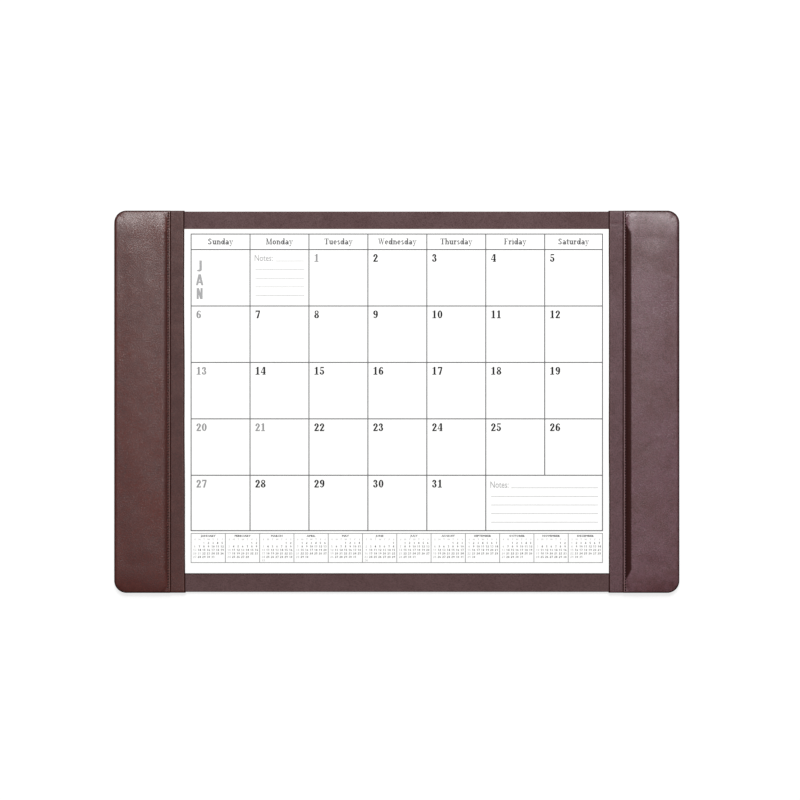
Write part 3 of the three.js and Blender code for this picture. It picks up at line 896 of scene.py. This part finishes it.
class DESKPAD_OT_stitching(bpy.types.Operator):
    """Seam thread: a row of lock stitches along each rail."""
    bl_idname = "deskpad.stitching"
    bl_label = "Stitching"

    slant = math.radians(-24)
    stitch_share = 0.6
    rise_share = 0.25
    end_margin = 3 * MM

    def execute(self, context):
        rails, _, colours = settings()
        finish, tree, shader = material("Seam thread", 0.7)
        shader.inputs["Specular IOR Level"].default_value = 0.08
        place = node(tree, "ShaderNodeTexCoord").outputs["Object"]
        twist = node(tree, "ShaderNodeTexWave", Vector=place, Scale=900.0, Distortion=1.0)
        twist.bands_direction = "DIAGONAL"
        # Diagonal bands of painted highlight along the thread's twist
        tone = blend_colours(
            tree, twist.outputs["Fac"], tuple(colours.thread), tuple(colours.thread_light))
        tree.links.new(tone, shader.inputs["Base Color"])
        for side in ("left", "right"):
            self.row(context, rails, side, finish)
        return {"FINISHED"}

    def row(self, context, rails, side, finish):
        deselect()
        bpy.ops.mesh.primitive_uv_sphere_add(segments=8, ring_count=7, radius=0.5)
        stitch = context.object
        stitch.rotation_euler.x = math.pi / 2
        bpy.ops.object.transform_apply(rotation=True)
        stitch.scale = (rails.thread, rails.stitch_pitch * self.stitch_share, rails.thread)
        settle(stitch)
        height = (STRIP_TOP + 2 * fold_radius(rails) - rails.groove_depth
                  + rails.thread * self.rise_share)
        reach = HALF_DEPTH - self.end_margin
        count = int(2 * reach / rails.stitch_pitch)
        x = SEAM_X - rails.stitch_inset
        row = []
        for i in range(count):
            y = (i - (count - 1) / 2) * rails.stitch_pitch
            row.append(placed_copy(stitch, (x, y + rails.stitch_pitch / 2, height), self.slant))
        bpy.data.objects.remove(stitch)
        piece = joined(f"{side}_seam_stitches", row)
        finish_rail_piece(piece, side)
        dress(piece, finish, "rail_leather")


class DESKPAD_OT_base(bpy.types.Operator):
    """Base leather, felt, boards and foam: the frame's own pieces with their finishes."""
    bl_idname = "deskpad.base"
    bl_label = "Base"

    def execute(self, context):
        _, _, colours = settings()
        leather = leather_material(
            "Base leather", colours.base, colours.base_bloom, bloom_amount=0.5, grain=0.8 * MM,
            depth=0.05 * MM, roughness=0.6, gloss=0.36)
        felt = fibre_material("Felt", colours.felt, variation=0.6, size=0.6 * MM, depth=0.2 * MM,
                              roughness=0.95)
        felt.node_tree.nodes["Principled BSDF"].inputs["Sheen Weight"].default_value = 0.3
        board = fibre_material("Pasteboard", colours.board, variation=0.35, size=1.2 * MM,
                               depth=0.04 * MM, roughness=0.9)
        foam = fibre_material("Foam", colours.foam, variation=0.25, size=0.9 * MM, depth=0.2 * MM,
                              roughness=0.95)
        gum = fibre_material("Padding gum", colours.gum, variation=0.15, size=1 * MM,
                             depth=0.03 * MM, roughness=0.4)
        finishes = {"base_leather": leather, "felt_backing": felt, "base_board": board,
                    "calendar_backing_board": board, "calendar_gum_edge": gum}
        for side in ("left", "right"):
            for part in ("rail_spacer", "rail_top_spacer", "rail_bottom_spacer", "rail_board"):
                finishes[f"{side}_{part}"] = board
            finishes[f"{side}_rail_padding"] = foam
        for name, finish in finishes.items():
            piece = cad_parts[name]
            if not piece.material_slots:
                raise RuntimeError(f"{name} has no material slot")
            for slot in piece.material_slots:
                slot.material = finish
        return {"FINISHED"}


class DESKPAD_OT_sheets(bpy.types.Operator):
    """Calendar sheets: a gummed stack whose edges stray a little."""
    bl_idname = "deskpad.sheets"
    bl_label = "Calendar Sheets"

    # The rest of a sheet's pitch is the air above it
    sheet_share = 0.9

    def execute(self, context):
        _, pad, colours = settings()
        paper = fibre_material("Paper", colours.paper, variation=0.012, size=0.5 * MM,
                               depth=0.004 * MM, roughness=0.85)
        middle, size = (SHEETS_LOW + SHEETS_HIGH) / 2, SHEETS_HIGH - SHEETS_LOW
        pitch = size.z / pad.sheets
        deselect()
        bpy.ops.mesh.primitive_cube_add(size=1.0)
        sheet = context.object
        stack = []
        for i in range(pad.sheets):
            stray_x = pad.fray * noise.noise(Vector((i * 1.37, 0.4, 2.1)))
            stray_y = pad.fray * noise.noise(Vector((i * 1.91, 5.4, 0.3)))
            thickness = pitch * self.sheet_share
            if i == pad.sheets - 1:
                stray_x, stray_y, thickness = 0.0, 0.0, pitch
            stack.append(placed_copy(
                sheet, (middle.x + stray_x, middle.y + stray_y, SHEETS_LOW.z + (i + 0.5) * pitch),
                scale=(size.x - abs(stray_x) * 2, size.y - abs(stray_y) * 2, thickness)))
        bpy.data.objects.remove(sheet)
        piece = joined("calendar_paper_sheets", stack)
        dress(piece, paper, "paper", "calendar_sheets")
        return {"FINISHED"}


def ink_material(name, tone):
    """Matt ink that lies a little unevenly."""
    made, tree, shader = material(name, 0.8)
    shader.inputs["Specular IOR Level"].default_value = 0.2
    place = node(tree, "ShaderNodeTexCoord").outputs["Object"]
    speckle = node(tree, "ShaderNodeTexNoise", Vector=place, Scale=1500.0, Detail=2.0)
    paler = tuple(min(1.0, channel * 1.25 + 0.01) for channel in tone)
    final = blend_colours(tree, spread(tree, speckle.outputs[0], 0.4, 0.65), tuple(tone), paler)
    tree.links.new(final, shader.inputs["Base Color"])
    return made


# Type. A glyph is its advance and a list of strokes, in shares of the capitals' height. A stroke is
# two lines of points that bound it.

def bar(left, bottom, right, top):
    return [(left, top), (right, top)], [(left, bottom), (right, bottom)]


def slope(upper_left, upper_right, lower_left, lower_right, top=1.0, bottom=0.0):
    """A slanting stroke between two levels."""
    return [(upper_right, top), (lower_right, bottom)], [(upper_left, top), (lower_left, bottom)]


def arc(x, y, width, height, start=0.0, stop=360.0, side=0.23, cap=0.11, turn=20.0):
    """Part of an oval ring, thicker at its sides than at its top and bottom."""
    steps = max(3, round(abs(stop - start) / turn))
    outer, inner = [], []
    for degrees in even_steps(start, stop, steps):
        cosine, sine = math.cos(math.radians(degrees)), math.sin(math.radians(degrees))
        outer.append((x + width / 2 * cosine, y + height / 2 * sine))
        inner.append((x + (width / 2 - side) * cosine, y + (height / 2 - cap) * sine))
    return outer, inner


def dot(x, y, size):
    return arc(x, y, size, size, side=size / 2 - 0.002, cap=size / 2 - 0.002, turn=45.0)


def figures():
    """Bold slab-serif figures."""
    stem, slab = 0.23, 0.105
    drawn = {
        "0": [arc(0.31, 0.5, 0.62, 1.0)],
        "1": [bar(0.2, 0.0, 0.2 + stem, 1.0), bar(0.03, 0.0, 0.55, slab),
              bar(0.04, 0.78, 0.22, 0.86)],
        "2": [arc(0.3, 0.71, 0.58, 0.58, -28.0, 175.0), dot(0.12, 0.72, 0.21),
              slope(0.33, 0.57, 0.02, 0.24, 0.62, 0.1), bar(0.02, 0.0, 0.58, 0.15),
              bar(0.52, 0.0, 0.58, 0.26)],
        "3": [arc(0.28, 0.75, 0.52, 0.5, -90.0, 165.0), arc(0.28, 0.28, 0.6, 0.56, -165.0, 90.0),
              dot(0.12, 0.76, 0.19), dot(0.11, 0.24, 0.21), bar(0.2, 0.49, 0.32, 0.565)],
        "4": [bar(0.34, 0.0, 0.34 + stem, 1.0), bar(0.0, 0.24, 0.62, 0.24 + slab),
              bar(0.22, 0.0, 0.62, slab), slope(0.32, 0.42, 0.0, 0.08, 1.0, 0.3)],
        "5": [bar(0.09, 0.84, 0.54, 1.0), bar(0.09, 0.5, 0.165, 0.9), dot(0.11, 0.24, 0.2),
              arc(0.28, 0.31, 0.6, 0.62, -165.0, 128.0)],
        "6": [arc(0.31, 0.31, 0.6, 0.62), arc(0.37, 0.5, 0.72, 1.0, 72.0, 200.0),
              dot(0.49, 0.84, 0.18)],
        "7": [bar(0.04, 0.83, 0.6, 1.0), bar(0.04, 0.7, 0.115, 0.9),
              slope(0.44, 0.61, 0.15, 0.39, 0.86)],
        "8": [arc(0.31, 0.75, 0.52, 0.5, side=0.15), arc(0.31, 0.27, 0.62, 0.54)],
        "9": [arc(0.31, 0.69, 0.6, 0.62), arc(0.25, 0.5, 0.72, 1.0, -108.0, 20.0),
              dot(0.13, 0.16, 0.18)],
    }
    return {figure: (0.7, strokes) for figure, strokes in drawn.items()}


def small_figures():
    """Bold plain figures with few faces, for the month tables."""

    def ring(x, y, width, height, start=0.0, stop=360.0, side=0.22, cap=0.18, turn=60.0):
        return arc(x, y, width, height, start, stop, side, cap, turn)

    drawn = {
        "0": [ring(0.32, 0.5, 0.64, 1.0, cap=0.2)],
        "1": [bar(0.24, 0.0, 0.46, 1.0), bar(0.08, 0.72, 0.24, 0.88)],
        "2": [ring(0.32, 0.7, 0.6, 0.6, -30.0, 170.0, cap=0.2, turn=50.0),
              slope(0.36, 0.62, 0.02, 0.3, 0.6, 0.18), bar(0.02, 0.0, 0.62, 0.18)],
        "3": [ring(0.3, 0.74, 0.56, 0.52, -90.0, 160.0, side=0.2, cap=0.17),
              ring(0.3, 0.28, 0.62, 0.56, -160.0, 90.0, cap=0.17)],
        "4": [bar(0.36, 0.0, 0.58, 1.0), bar(0.0, 0.2, 0.66, 0.38), slope(0.3, 0.5, 0.0, 0.2, 1.0, 0.3)],
        "5": [bar(0.08, 0.82, 0.58, 1.0), bar(0.08, 0.46, 0.28, 0.86),
              ring(0.3, 0.32, 0.62, 0.64, -160.0, 110.0, turn=50.0)],
        "6": [ring(0.32, 0.32, 0.62, 0.64), ring(0.42, 0.45, 0.82, 1.1, 90.0, 190.0, turn=50.0)],
        "7": [bar(0.02, 0.82, 0.62, 1.0), slope(0.4, 0.62, 0.14, 0.38, 0.84)],
        "8": [ring(0.32, 0.74, 0.56, 0.52, side=0.2, cap=0.16), ring(0.32, 0.28, 0.64, 0.56, cap=0.17)],
        "9": [ring(0.32, 0.68, 0.62, 0.64), ring(0.22, 0.55, 0.82, 1.1, -90.0, 10.0, turn=50.0)],
    }
    return {figure: (0.78, strokes) for figure, strokes in drawn.items()}


def letters():
    """Slab-serif letters: the ones that the weekday names need."""
    side, cap, slab, low = 0.185, 0.15, 0.125, 0.68

    def curve(x, y, width, height, start=0.0, stop=360.0):
        return arc(x, y, width, height, start, stop, side, cap)

    def stem(x, bottom, top):
        return bar(x, bottom, x + side, top)

    def arched(top):
        """A stem with an arch, for h and n."""
        return [stem(0.08, 0.0, top), bar(0.0, top - slab, 0.1, top), bar(0.0, 0.0, 0.28, slab),
                curve(0.32, 0.46, 0.46, 0.44, 0.0, 180.0), stem(0.42, 0.0, 0.46),
                bar(0.35, 0.0, 0.62, slab)]

    return {
        "S": (0.68, [curve(0.3, 0.755, 0.5, 0.49, 15.0, 270.0),
                     curve(0.3, 0.275, 0.54, 0.55, -165.0, 90.0),
                     bar(0.49, 0.72, 0.55, 0.98), bar(0.03, 0.02, 0.09, 0.28)]),
        "M": (1.0, [bar(0.1, 0.0, 0.2, 1.0), bar(0.7, 0.0, 0.87, 1.0), slope(0.08, 0.26, 0.4, 0.53),
                    slope(0.72, 0.78, 0.42, 0.5), bar(0.0, 0.93, 0.2, 1.0), bar(0.74, 0.93, 0.94, 1.0),
                    bar(0.0, 0.0, 0.28, slab), bar(0.62, 0.0, 0.94, slab)]),
        "T": (0.74, [stem(0.29, 0.0, 1.0), bar(0.02, 0.92, 0.69, 1.0), bar(0.02, 0.7, 0.08, 0.94),
                     bar(0.63, 0.7, 0.69, 0.94), bar(0.18, 0.0, 0.53, slab)]),
        "W": (1.02, [slope(0.06, 0.2, 0.26, 0.36), slope(0.5, 0.56, 0.26, 0.34),
                     slope(0.42, 0.57, 0.64, 0.74), slope(0.86, 0.92, 0.64, 0.72),
                     bar(0.0, 0.93, 0.28, 1.0), bar(0.36, 0.93, 0.62, 1.0), bar(0.76, 0.93, 1.0, 1.0)]),
        "F": (0.7, [stem(0.1, 0.0, 1.0), bar(0.0, 0.92, 0.64, 1.0), bar(0.2, 0.47, 0.44, 0.54),
                    bar(0.58, 0.68, 0.64, 0.94), bar(0.41, 0.38, 0.46, 0.64),
                    bar(0.0, 0.0, 0.36, slab)]),
        "a": (0.6, [curve(0.23, 0.2, 0.44, 0.44), stem(0.35, 0.0, 0.5),
                    curve(0.25, 0.47, 0.46, 0.44, 0.0, 150.0), bar(0.4, 0.0, 0.57, slab)]),
        "d": (0.66, [curve(0.26, 0.34, 0.48, 0.7), stem(0.4, 0.0, 1.04), bar(0.33, 0.97, 0.45, 1.04),
                     bar(0.45, 0.0, 0.62, slab)]),
        "e": (0.58, [curve(0.27, 0.34, 0.5, 0.7, 0.0, 320.0), bar(0.1, 0.31, 0.5, 0.38)]),
        "h": (0.66, arched(1.04)),
        "i": (0.36, [stem(0.1, 0.0, low), bar(0.0, low - slab, 0.12, low), bar(0.0, 0.0, 0.32, slab),
                     dot(0.16, 0.9, 0.17)]),
        "n": (0.66, arched(low)),
        "o": (0.6, [curve(0.28, 0.34, 0.54, 0.7)]),
        "r": (0.5, [stem(0.08, 0.0, low), bar(0.0, low - slab, 0.1, low), bar(0.0, 0.0, 0.32, slab),
                    curve(0.34, 0.46, 0.36, 0.44, 70.0, 180.0), dot(0.41, 0.58, 0.16)]),
        "s": (0.5, [curve(0.23, 0.51, 0.38, 0.36, 20.0, 270.0),
                    curve(0.23, 0.18, 0.42, 0.38, -160.0, 90.0)]),
        "t": (0.42, [stem(0.1, 0.1, 0.88), bar(0.0, low - slab, 0.36, low),
                     curve(0.26, 0.14, 0.32, 0.3, 180.0, 330.0)]),
        "u": (0.66, [stem(0.08, 0.22, low), bar(0.0, low - slab, 0.1, low),
                     curve(0.29, 0.22, 0.42, 0.46, 180.0, 360.0), stem(0.4, 0.0, low),
                     bar(0.32, low - slab, 0.42, low), bar(0.45, 0.0, 0.62, slab)]),
        "y": (0.62, [slope(0.06, 0.2, 0.27, 0.34, low), slope(0.48, 0.54, 0.17, 0.25, low, -0.26),
                     bar(0.0, low - slab, 0.28, low), bar(0.38, low - slab, 0.6, low),
                     dot(0.13, -0.22, 0.18)]),
    }


def bold_capitals():
    """Bold condensed capitals without serifs, for the month's name. Each lies half to each side of
    x = 0."""
    return {
        "J": (0.0, [bar(-0.02, 0.14, 0.2, 1.0), arc(-0.05, 0.17, 0.5, 0.34, -160.0, 0.0, 0.22, 0.17)]),
        "A": (0.0, [slope(-0.11, 0.11, -0.34, -0.15), slope(-0.11, 0.11, 0.15, 0.34),
                    bar(-0.16, 0.2, 0.16, 0.35)]),
        "N": (0.0, [bar(-0.27, 0.0, -0.08, 1.0), bar(0.08, 0.0, 0.27, 1.0),
                    slope(-0.27, -0.06, 0.05, 0.27)]),
    }


def stroke_piece(stroke, thickness):
    """A stroke as a closed thin solid that stands on z = 0."""
    outer, inner = stroke
    piece = shaped_grid("stroke", len(outer) - 1, 1, lambda column, row: Vector((
        *(inner, outer)[row][column], thickness / 2)))
    outward(piece)
    modifier = piece.modifiers.new("Ink", "SOLIDIFY")
    modifier.thickness = thickness
    modifier.offset = 0.0
    apply_modifiers(piece)
    outward(piece)
    return piece


def typeset(name, words, glyphs, finish, ink):
    """One thin piece from words (text, x, baseline y, capitals' height, stretch, share). The share
    says how much of the word lies left of x."""
    models, made = {}, []
    for text, x, y, height, stretch, share in words:
        across = height * stretch
        pen = x - share * across * sum(glyphs[character][0] for character in text)
        for character in text:
            advance, strokes = glyphs[character]
            if character not in models:
                models[character] = joined("glyph", [
                    stroke_piece(stroke, ink + layer * LAYER) for layer, stroke in enumerate(strokes)])
            made.append(placed_copy(
                models[character], (pen, y, PAPER_TOP), scale=(across, height, 1.0)))
            pen += advance * across
    for model in models.values():
        bpy.data.objects.remove(model)
    piece = joined(name, made)
    dress(piece, finish, "ink")
    return piece


def font_words(name, words, finish, ink, bold=0.0, resolution=1):
    """One thin piece from words (text, x, baseline y, capitals' height, stretch) in the built-in
    typeface, each centred on x."""
    made = []
    for text, x, y, height, stretch in words:
        deselect()
        bpy.ops.object.text_add(location=(x, y, PAPER_TOP + ink / 2))
        item = bpy.context.object
        item.data.body = text
        item.data.size = height / CAPITAL_SHARE
        item.data.align_x = "CENTER"
        item.data.extrude = ink / 2
        item.data.offset = bold
        item.data.resolution_u = resolution
        item.scale.x = stretch
        bpy.ops.object.convert(target="MESH")
        made.append(bpy.context.object)
    piece = joined(name, made)
    outward(piece)
    dress(piece, finish, "ink")
    return piece


def cell_lines(pad):
    """Column and row lines of the month grid, from the left and from the top."""
    half = pad.line / 2
    left, right = GRID_LOW.x + half, GRID_HIGH.x - half
    top, bottom = GRID_HIGH.y - half, GRID_LOW.y + half
    width = (right - left + pad.last_column_trim) / WEEKDAYS
    height = (top - pad.header - bottom + pad.last_row_trim) / WEEKS
    columns = [left + i * width for i in range(WEEKDAYS)] + [right]
    rows = [top] + [top - pad.header - i * height for i in range(WEEKS)] + [bottom]
    return columns, rows


class DESKPAD_OT_ruled_lines(bpy.types.Operator):
    """Ink of the frame's own lines: the month grid and the month strip."""
    bl_idname = "deskpad.ruled_lines"
    bl_label = "Ruled Lines"

    def execute(self, context):
        _, _, colours = settings()
        inks = {"calendar_grid_print": colours.line_ink, "month_strip_print": colours.strip_ink}
        for name, tone in inks.items():
            finish = ink_material(f"Line ink {name}", tone)
            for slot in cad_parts[name].material_slots:
                slot.material = finish
        return {"FINISHED"}


class DESKPAD_OT_day_numbers(bpy.types.Operator):
    """Day numbers in the month grid, black for working days and grey for rest days."""
    bl_idname = "deskpad.day_numbers"
    bl_label = "Day Numbers"

    def execute(self, context):
        _, pad, colours = settings()
        columns, rows = cell_lines(pad)
        words = {True: [], False: []}
        for day in range(1, 32):
            row, column = divmod(day - 1 + pad.first_weekday, WEEKDAYS)
            x = columns[column] + pad.number_margin
            y = rows[row + 1] - pad.number_drop
            words[day in REST_DAYS].append((str(day), x, y, pad.number_height, 1.0, 0.0))
        black = ink_material("Black ink", colours.black_ink)
        grey = ink_material("Number grey", colours.number_grey)
        typeset("day_numbers", words[False], figures(), black, pad.ink)
        typeset("rest_day_numbers", words[True], figures(), grey, pad.ink)
        return {"FINISHED"}


class DESKPAD_OT_headings(bpy.types.Operator):
    """Weekday names along the top and the month's three letters in the first cell."""
    bl_idname = "deskpad.headings"
    bl_label = "Headings"

    name_height = 6.9 * MM
    name_stretch = 1.09
    name_drop = 11.95 * MM
    month_height = 12.7 * MM
    month_pitch = 15.8 * MM
    month_drop = 25.2 * MM
    month_inset = 9.8 * MM

    def execute(self, context):
        _, pad, colours = settings()
        columns, rows = cell_lines(pad)
        names = ("Sunday", "Monday", "Tuesday", "Wednesday", "Thursday", "Friday", "Saturday")
        words = [(name, (columns[i] + columns[i + 1]) / 2, rows[0] - self.name_drop,
                  self.name_height, self.name_stretch, 0.5) for i, name in enumerate(names)]
        dark = ink_material("Name ink", colours.name_ink)
        typeset("weekday_names", words, letters(), dark, pad.ink)
        capitals = [(letter, columns[0] + self.month_inset,
                     rows[1] - self.month_drop - i * self.month_pitch,
                     self.month_height, 1.0, 0.0) for i, letter in enumerate("JAN")]
        pale = ink_material("Month ink", colours.pale_ink)
        typeset("month_initials", capitals, bold_capitals(), pale, pad.ink)
        return {"FINISHED"}


class DESKPAD_OT_notes(bpy.types.Operator):
    """Headings and faint rules of the two cells for notes."""
    bl_idname = "deskpad.notes"
    bl_label = "Notes"

    rules = 5
    rule_width = 0.65 * MM
    margin = 6.2 * MM
    end_margin = 5.2 * MM
    heading_width = 29.3 * MM
    heading_height = 7.7 * MM
    heading_stretch = 0.75
    heading_middle = 15.6 * MM
    first_drop = {"week": 13.1 * MM, "month": 14.3 * MM}
    pitch = 9.88 * MM

    def execute(self, context):
        _, pad, colours = settings()
        columns, rows = cell_lines(pad)
        cells = {"week": (columns[1], columns[2], rows[1]), "month": (columns[5], columns[7], rows[5])}
        headings, lines = [], []
        rule = stroke_piece(bar(0.0, -0.5, 1.0, 0.5), pad.ink)
        for name, (left, right, top) in cells.items():
            first = top - self.first_drop[name]
            headings.append(("Notes:", left + self.heading_middle, first, self.heading_height,
                             self.heading_stretch))
            for i in range(self.rules):
                start = left + (self.heading_width if i == 0 else self.margin)
                lines.append(placed_copy(
                    rule, (start, first - i * self.pitch, PAPER_TOP),
                    scale=(right - self.end_margin - start, self.rule_width, 1.0)))
        bpy.data.objects.remove(rule)
        font_words("notes_headings", headings, ink_material("Notes ink", colours.pale_ink), pad.ink,
                   bold=0.06 * MM, resolution=3)
        piece = joined("notes_rules", lines)
        dress(piece, ink_material("Faint ink", colours.faint_ink), "ink")
        return {"FINISHED"}


class DESKPAD_OT_month_tables(bpy.types.Operator):
    """The twelve small months of the strip: names, weekday letters and days."""
    bl_idname = "deskpad.month_tables"
    bl_label = "Month Tables"

    cell_margin = 0.4 * MM
    name_drop = 3.8 * MM
    letters_drop = 7.7 * MM
    first_drop = 12.1 * MM
    row_pitch = 4.0 * MM
    column_inset = 4.4 * MM
    column_pitch = 5.23 * MM
    name_height, name_stretch = 2.1 * MM, 1.35
    letter_height, letter_stretch = 1.9 * MM, 1.1
    day_height, day_stretch = 2.4 * MM, 1.05

    def execute(self, context):
        _, pad, colours = settings()
        left, top = MONTHS_LOW.x + self.cell_margin, MONTHS_HIGH.y - self.cell_margin
        pitch = (MONTHS_HIGH.x - MONTHS_LOW.x - 2 * self.cell_margin) / 12
        names, initials, words = [], [], {True: [], False: []}
        weekday = pad.first_weekday
        for month in range(12):
            cell = left + month * pitch
            title = calendar.month_name[month + 1].upper()
            names.append((title, cell + pitch / 2, top - self.name_drop, self.name_height,
                          self.name_stretch))
            for i, letter in enumerate("SMTWTFS"):
                x = cell + self.column_inset + i * self.column_pitch
                initials.append((letter, x, top - self.letters_drop, self.letter_height,
                                 self.letter_stretch))
            days = calendar.mdays[month + 1]
            for day in range(1, days + 1):
                row, column = divmod(day - 1 + weekday, WEEKDAYS)
                x = cell + self.column_inset + column * self.column_pitch
                y = top - self.first_drop - row * self.row_pitch
                rest = column == 0 or (month == 0 and day in REST_DAYS)
                words[rest].append((str(day), x, y, self.day_height, self.day_stretch, 0.5))
            weekday = (weekday + days) % WEEKDAYS
        dark = ink_material("Table ink", colours.table_ink)
        faint = ink_material("Table faint ink", colours.faint_ink)
        font_words("month_table_names", names, dark, pad.ink, bold=0.12 * MM)
        font_words("month_table_letters", initials, faint, pad.ink, bold=0.08 * MM)
        typeset("month_table_days", words[False], small_figures(), dark, pad.ink)
        typeset("month_table_rest_days", words[True], small_figures(), faint, pad.ink)
        return {"FINISHED"}


PIECES = (DESKPAD_OT_base, DESKPAD_OT_rail_covers, DESKPAD_OT_rail_strips, DESKPAD_OT_stitching,
          DESKPAD_OT_sheets, DESKPAD_OT_ruled_lines, DESKPAD_OT_day_numbers, DESKPAD_OT_headings,
          DESKPAD_OT_notes, DESKPAD_OT_month_tables)
GROUPS = (DESKPAD_PG_rails, DESKPAD_PG_calendar, DESKPAD_PG_colours)


class DESKPAD_PT_sidebar(bpy.types.Panel):
    """Buttons for the pad's pieces and its stage."""
    bl_idname = "DESKPAD_PT_sidebar"
    bl_label = "Desk Pad Calendar"
    bl_space_type = "VIEW_3D"
    bl_region_type = "UI"
    bl_category = "Desk Pad"

    def draw(self, context):
        for operator in (DESKPAD_OT_stage, *PIECES):
            self.layout.operator(operator.bl_idname)
        for group in settings():
            for name in group.bl_rna.properties.keys():
                if name not in ("rna_type", "name"):
                    self.layout.prop(group, name)


CLASSES = (*GROUPS, DESKPAD_OT_stage, *PIECES, DESKPAD_PT_sidebar)


def register():
    for item in CLASSES:
        bpy.utils.register_class(item)
    bpy.types.Scene.deskpad_rails = bpy.props.PointerProperty(type=DESKPAD_PG_rails)
    bpy.types.Scene.deskpad_calendar = bpy.props.PointerProperty(type=DESKPAD_PG_calendar)
    bpy.types.Scene.deskpad_colours = bpy.props.PointerProperty(type=DESKPAD_PG_colours)


def unregister():
    del bpy.types.Scene.deskpad_colours
    del bpy.types.Scene.deskpad_calendar
    del bpy.types.Scene.deskpad_rails
    for item in reversed(CLASSES):
        bpy.utils.unregister_class(item)


def main():
    register()
    leather_group()
    fibre_group()
    bpy.ops.deskpad.stage()
    bpy.ops.deskpad.base()
    bpy.ops.deskpad.rail_covers()
    bpy.ops.deskpad.rail_strips()
    bpy.ops.deskpad.stitching()
    bpy.ops.deskpad.sheets()
    bpy.ops.deskpad.ruled_lines()
    bpy.ops.deskpad.day_numbers()
    bpy.ops.deskpad.headings()
    bpy.ops.deskpad.notes()
    bpy.ops.deskpad.month_tables()


if __name__ == "__main__":
    main()
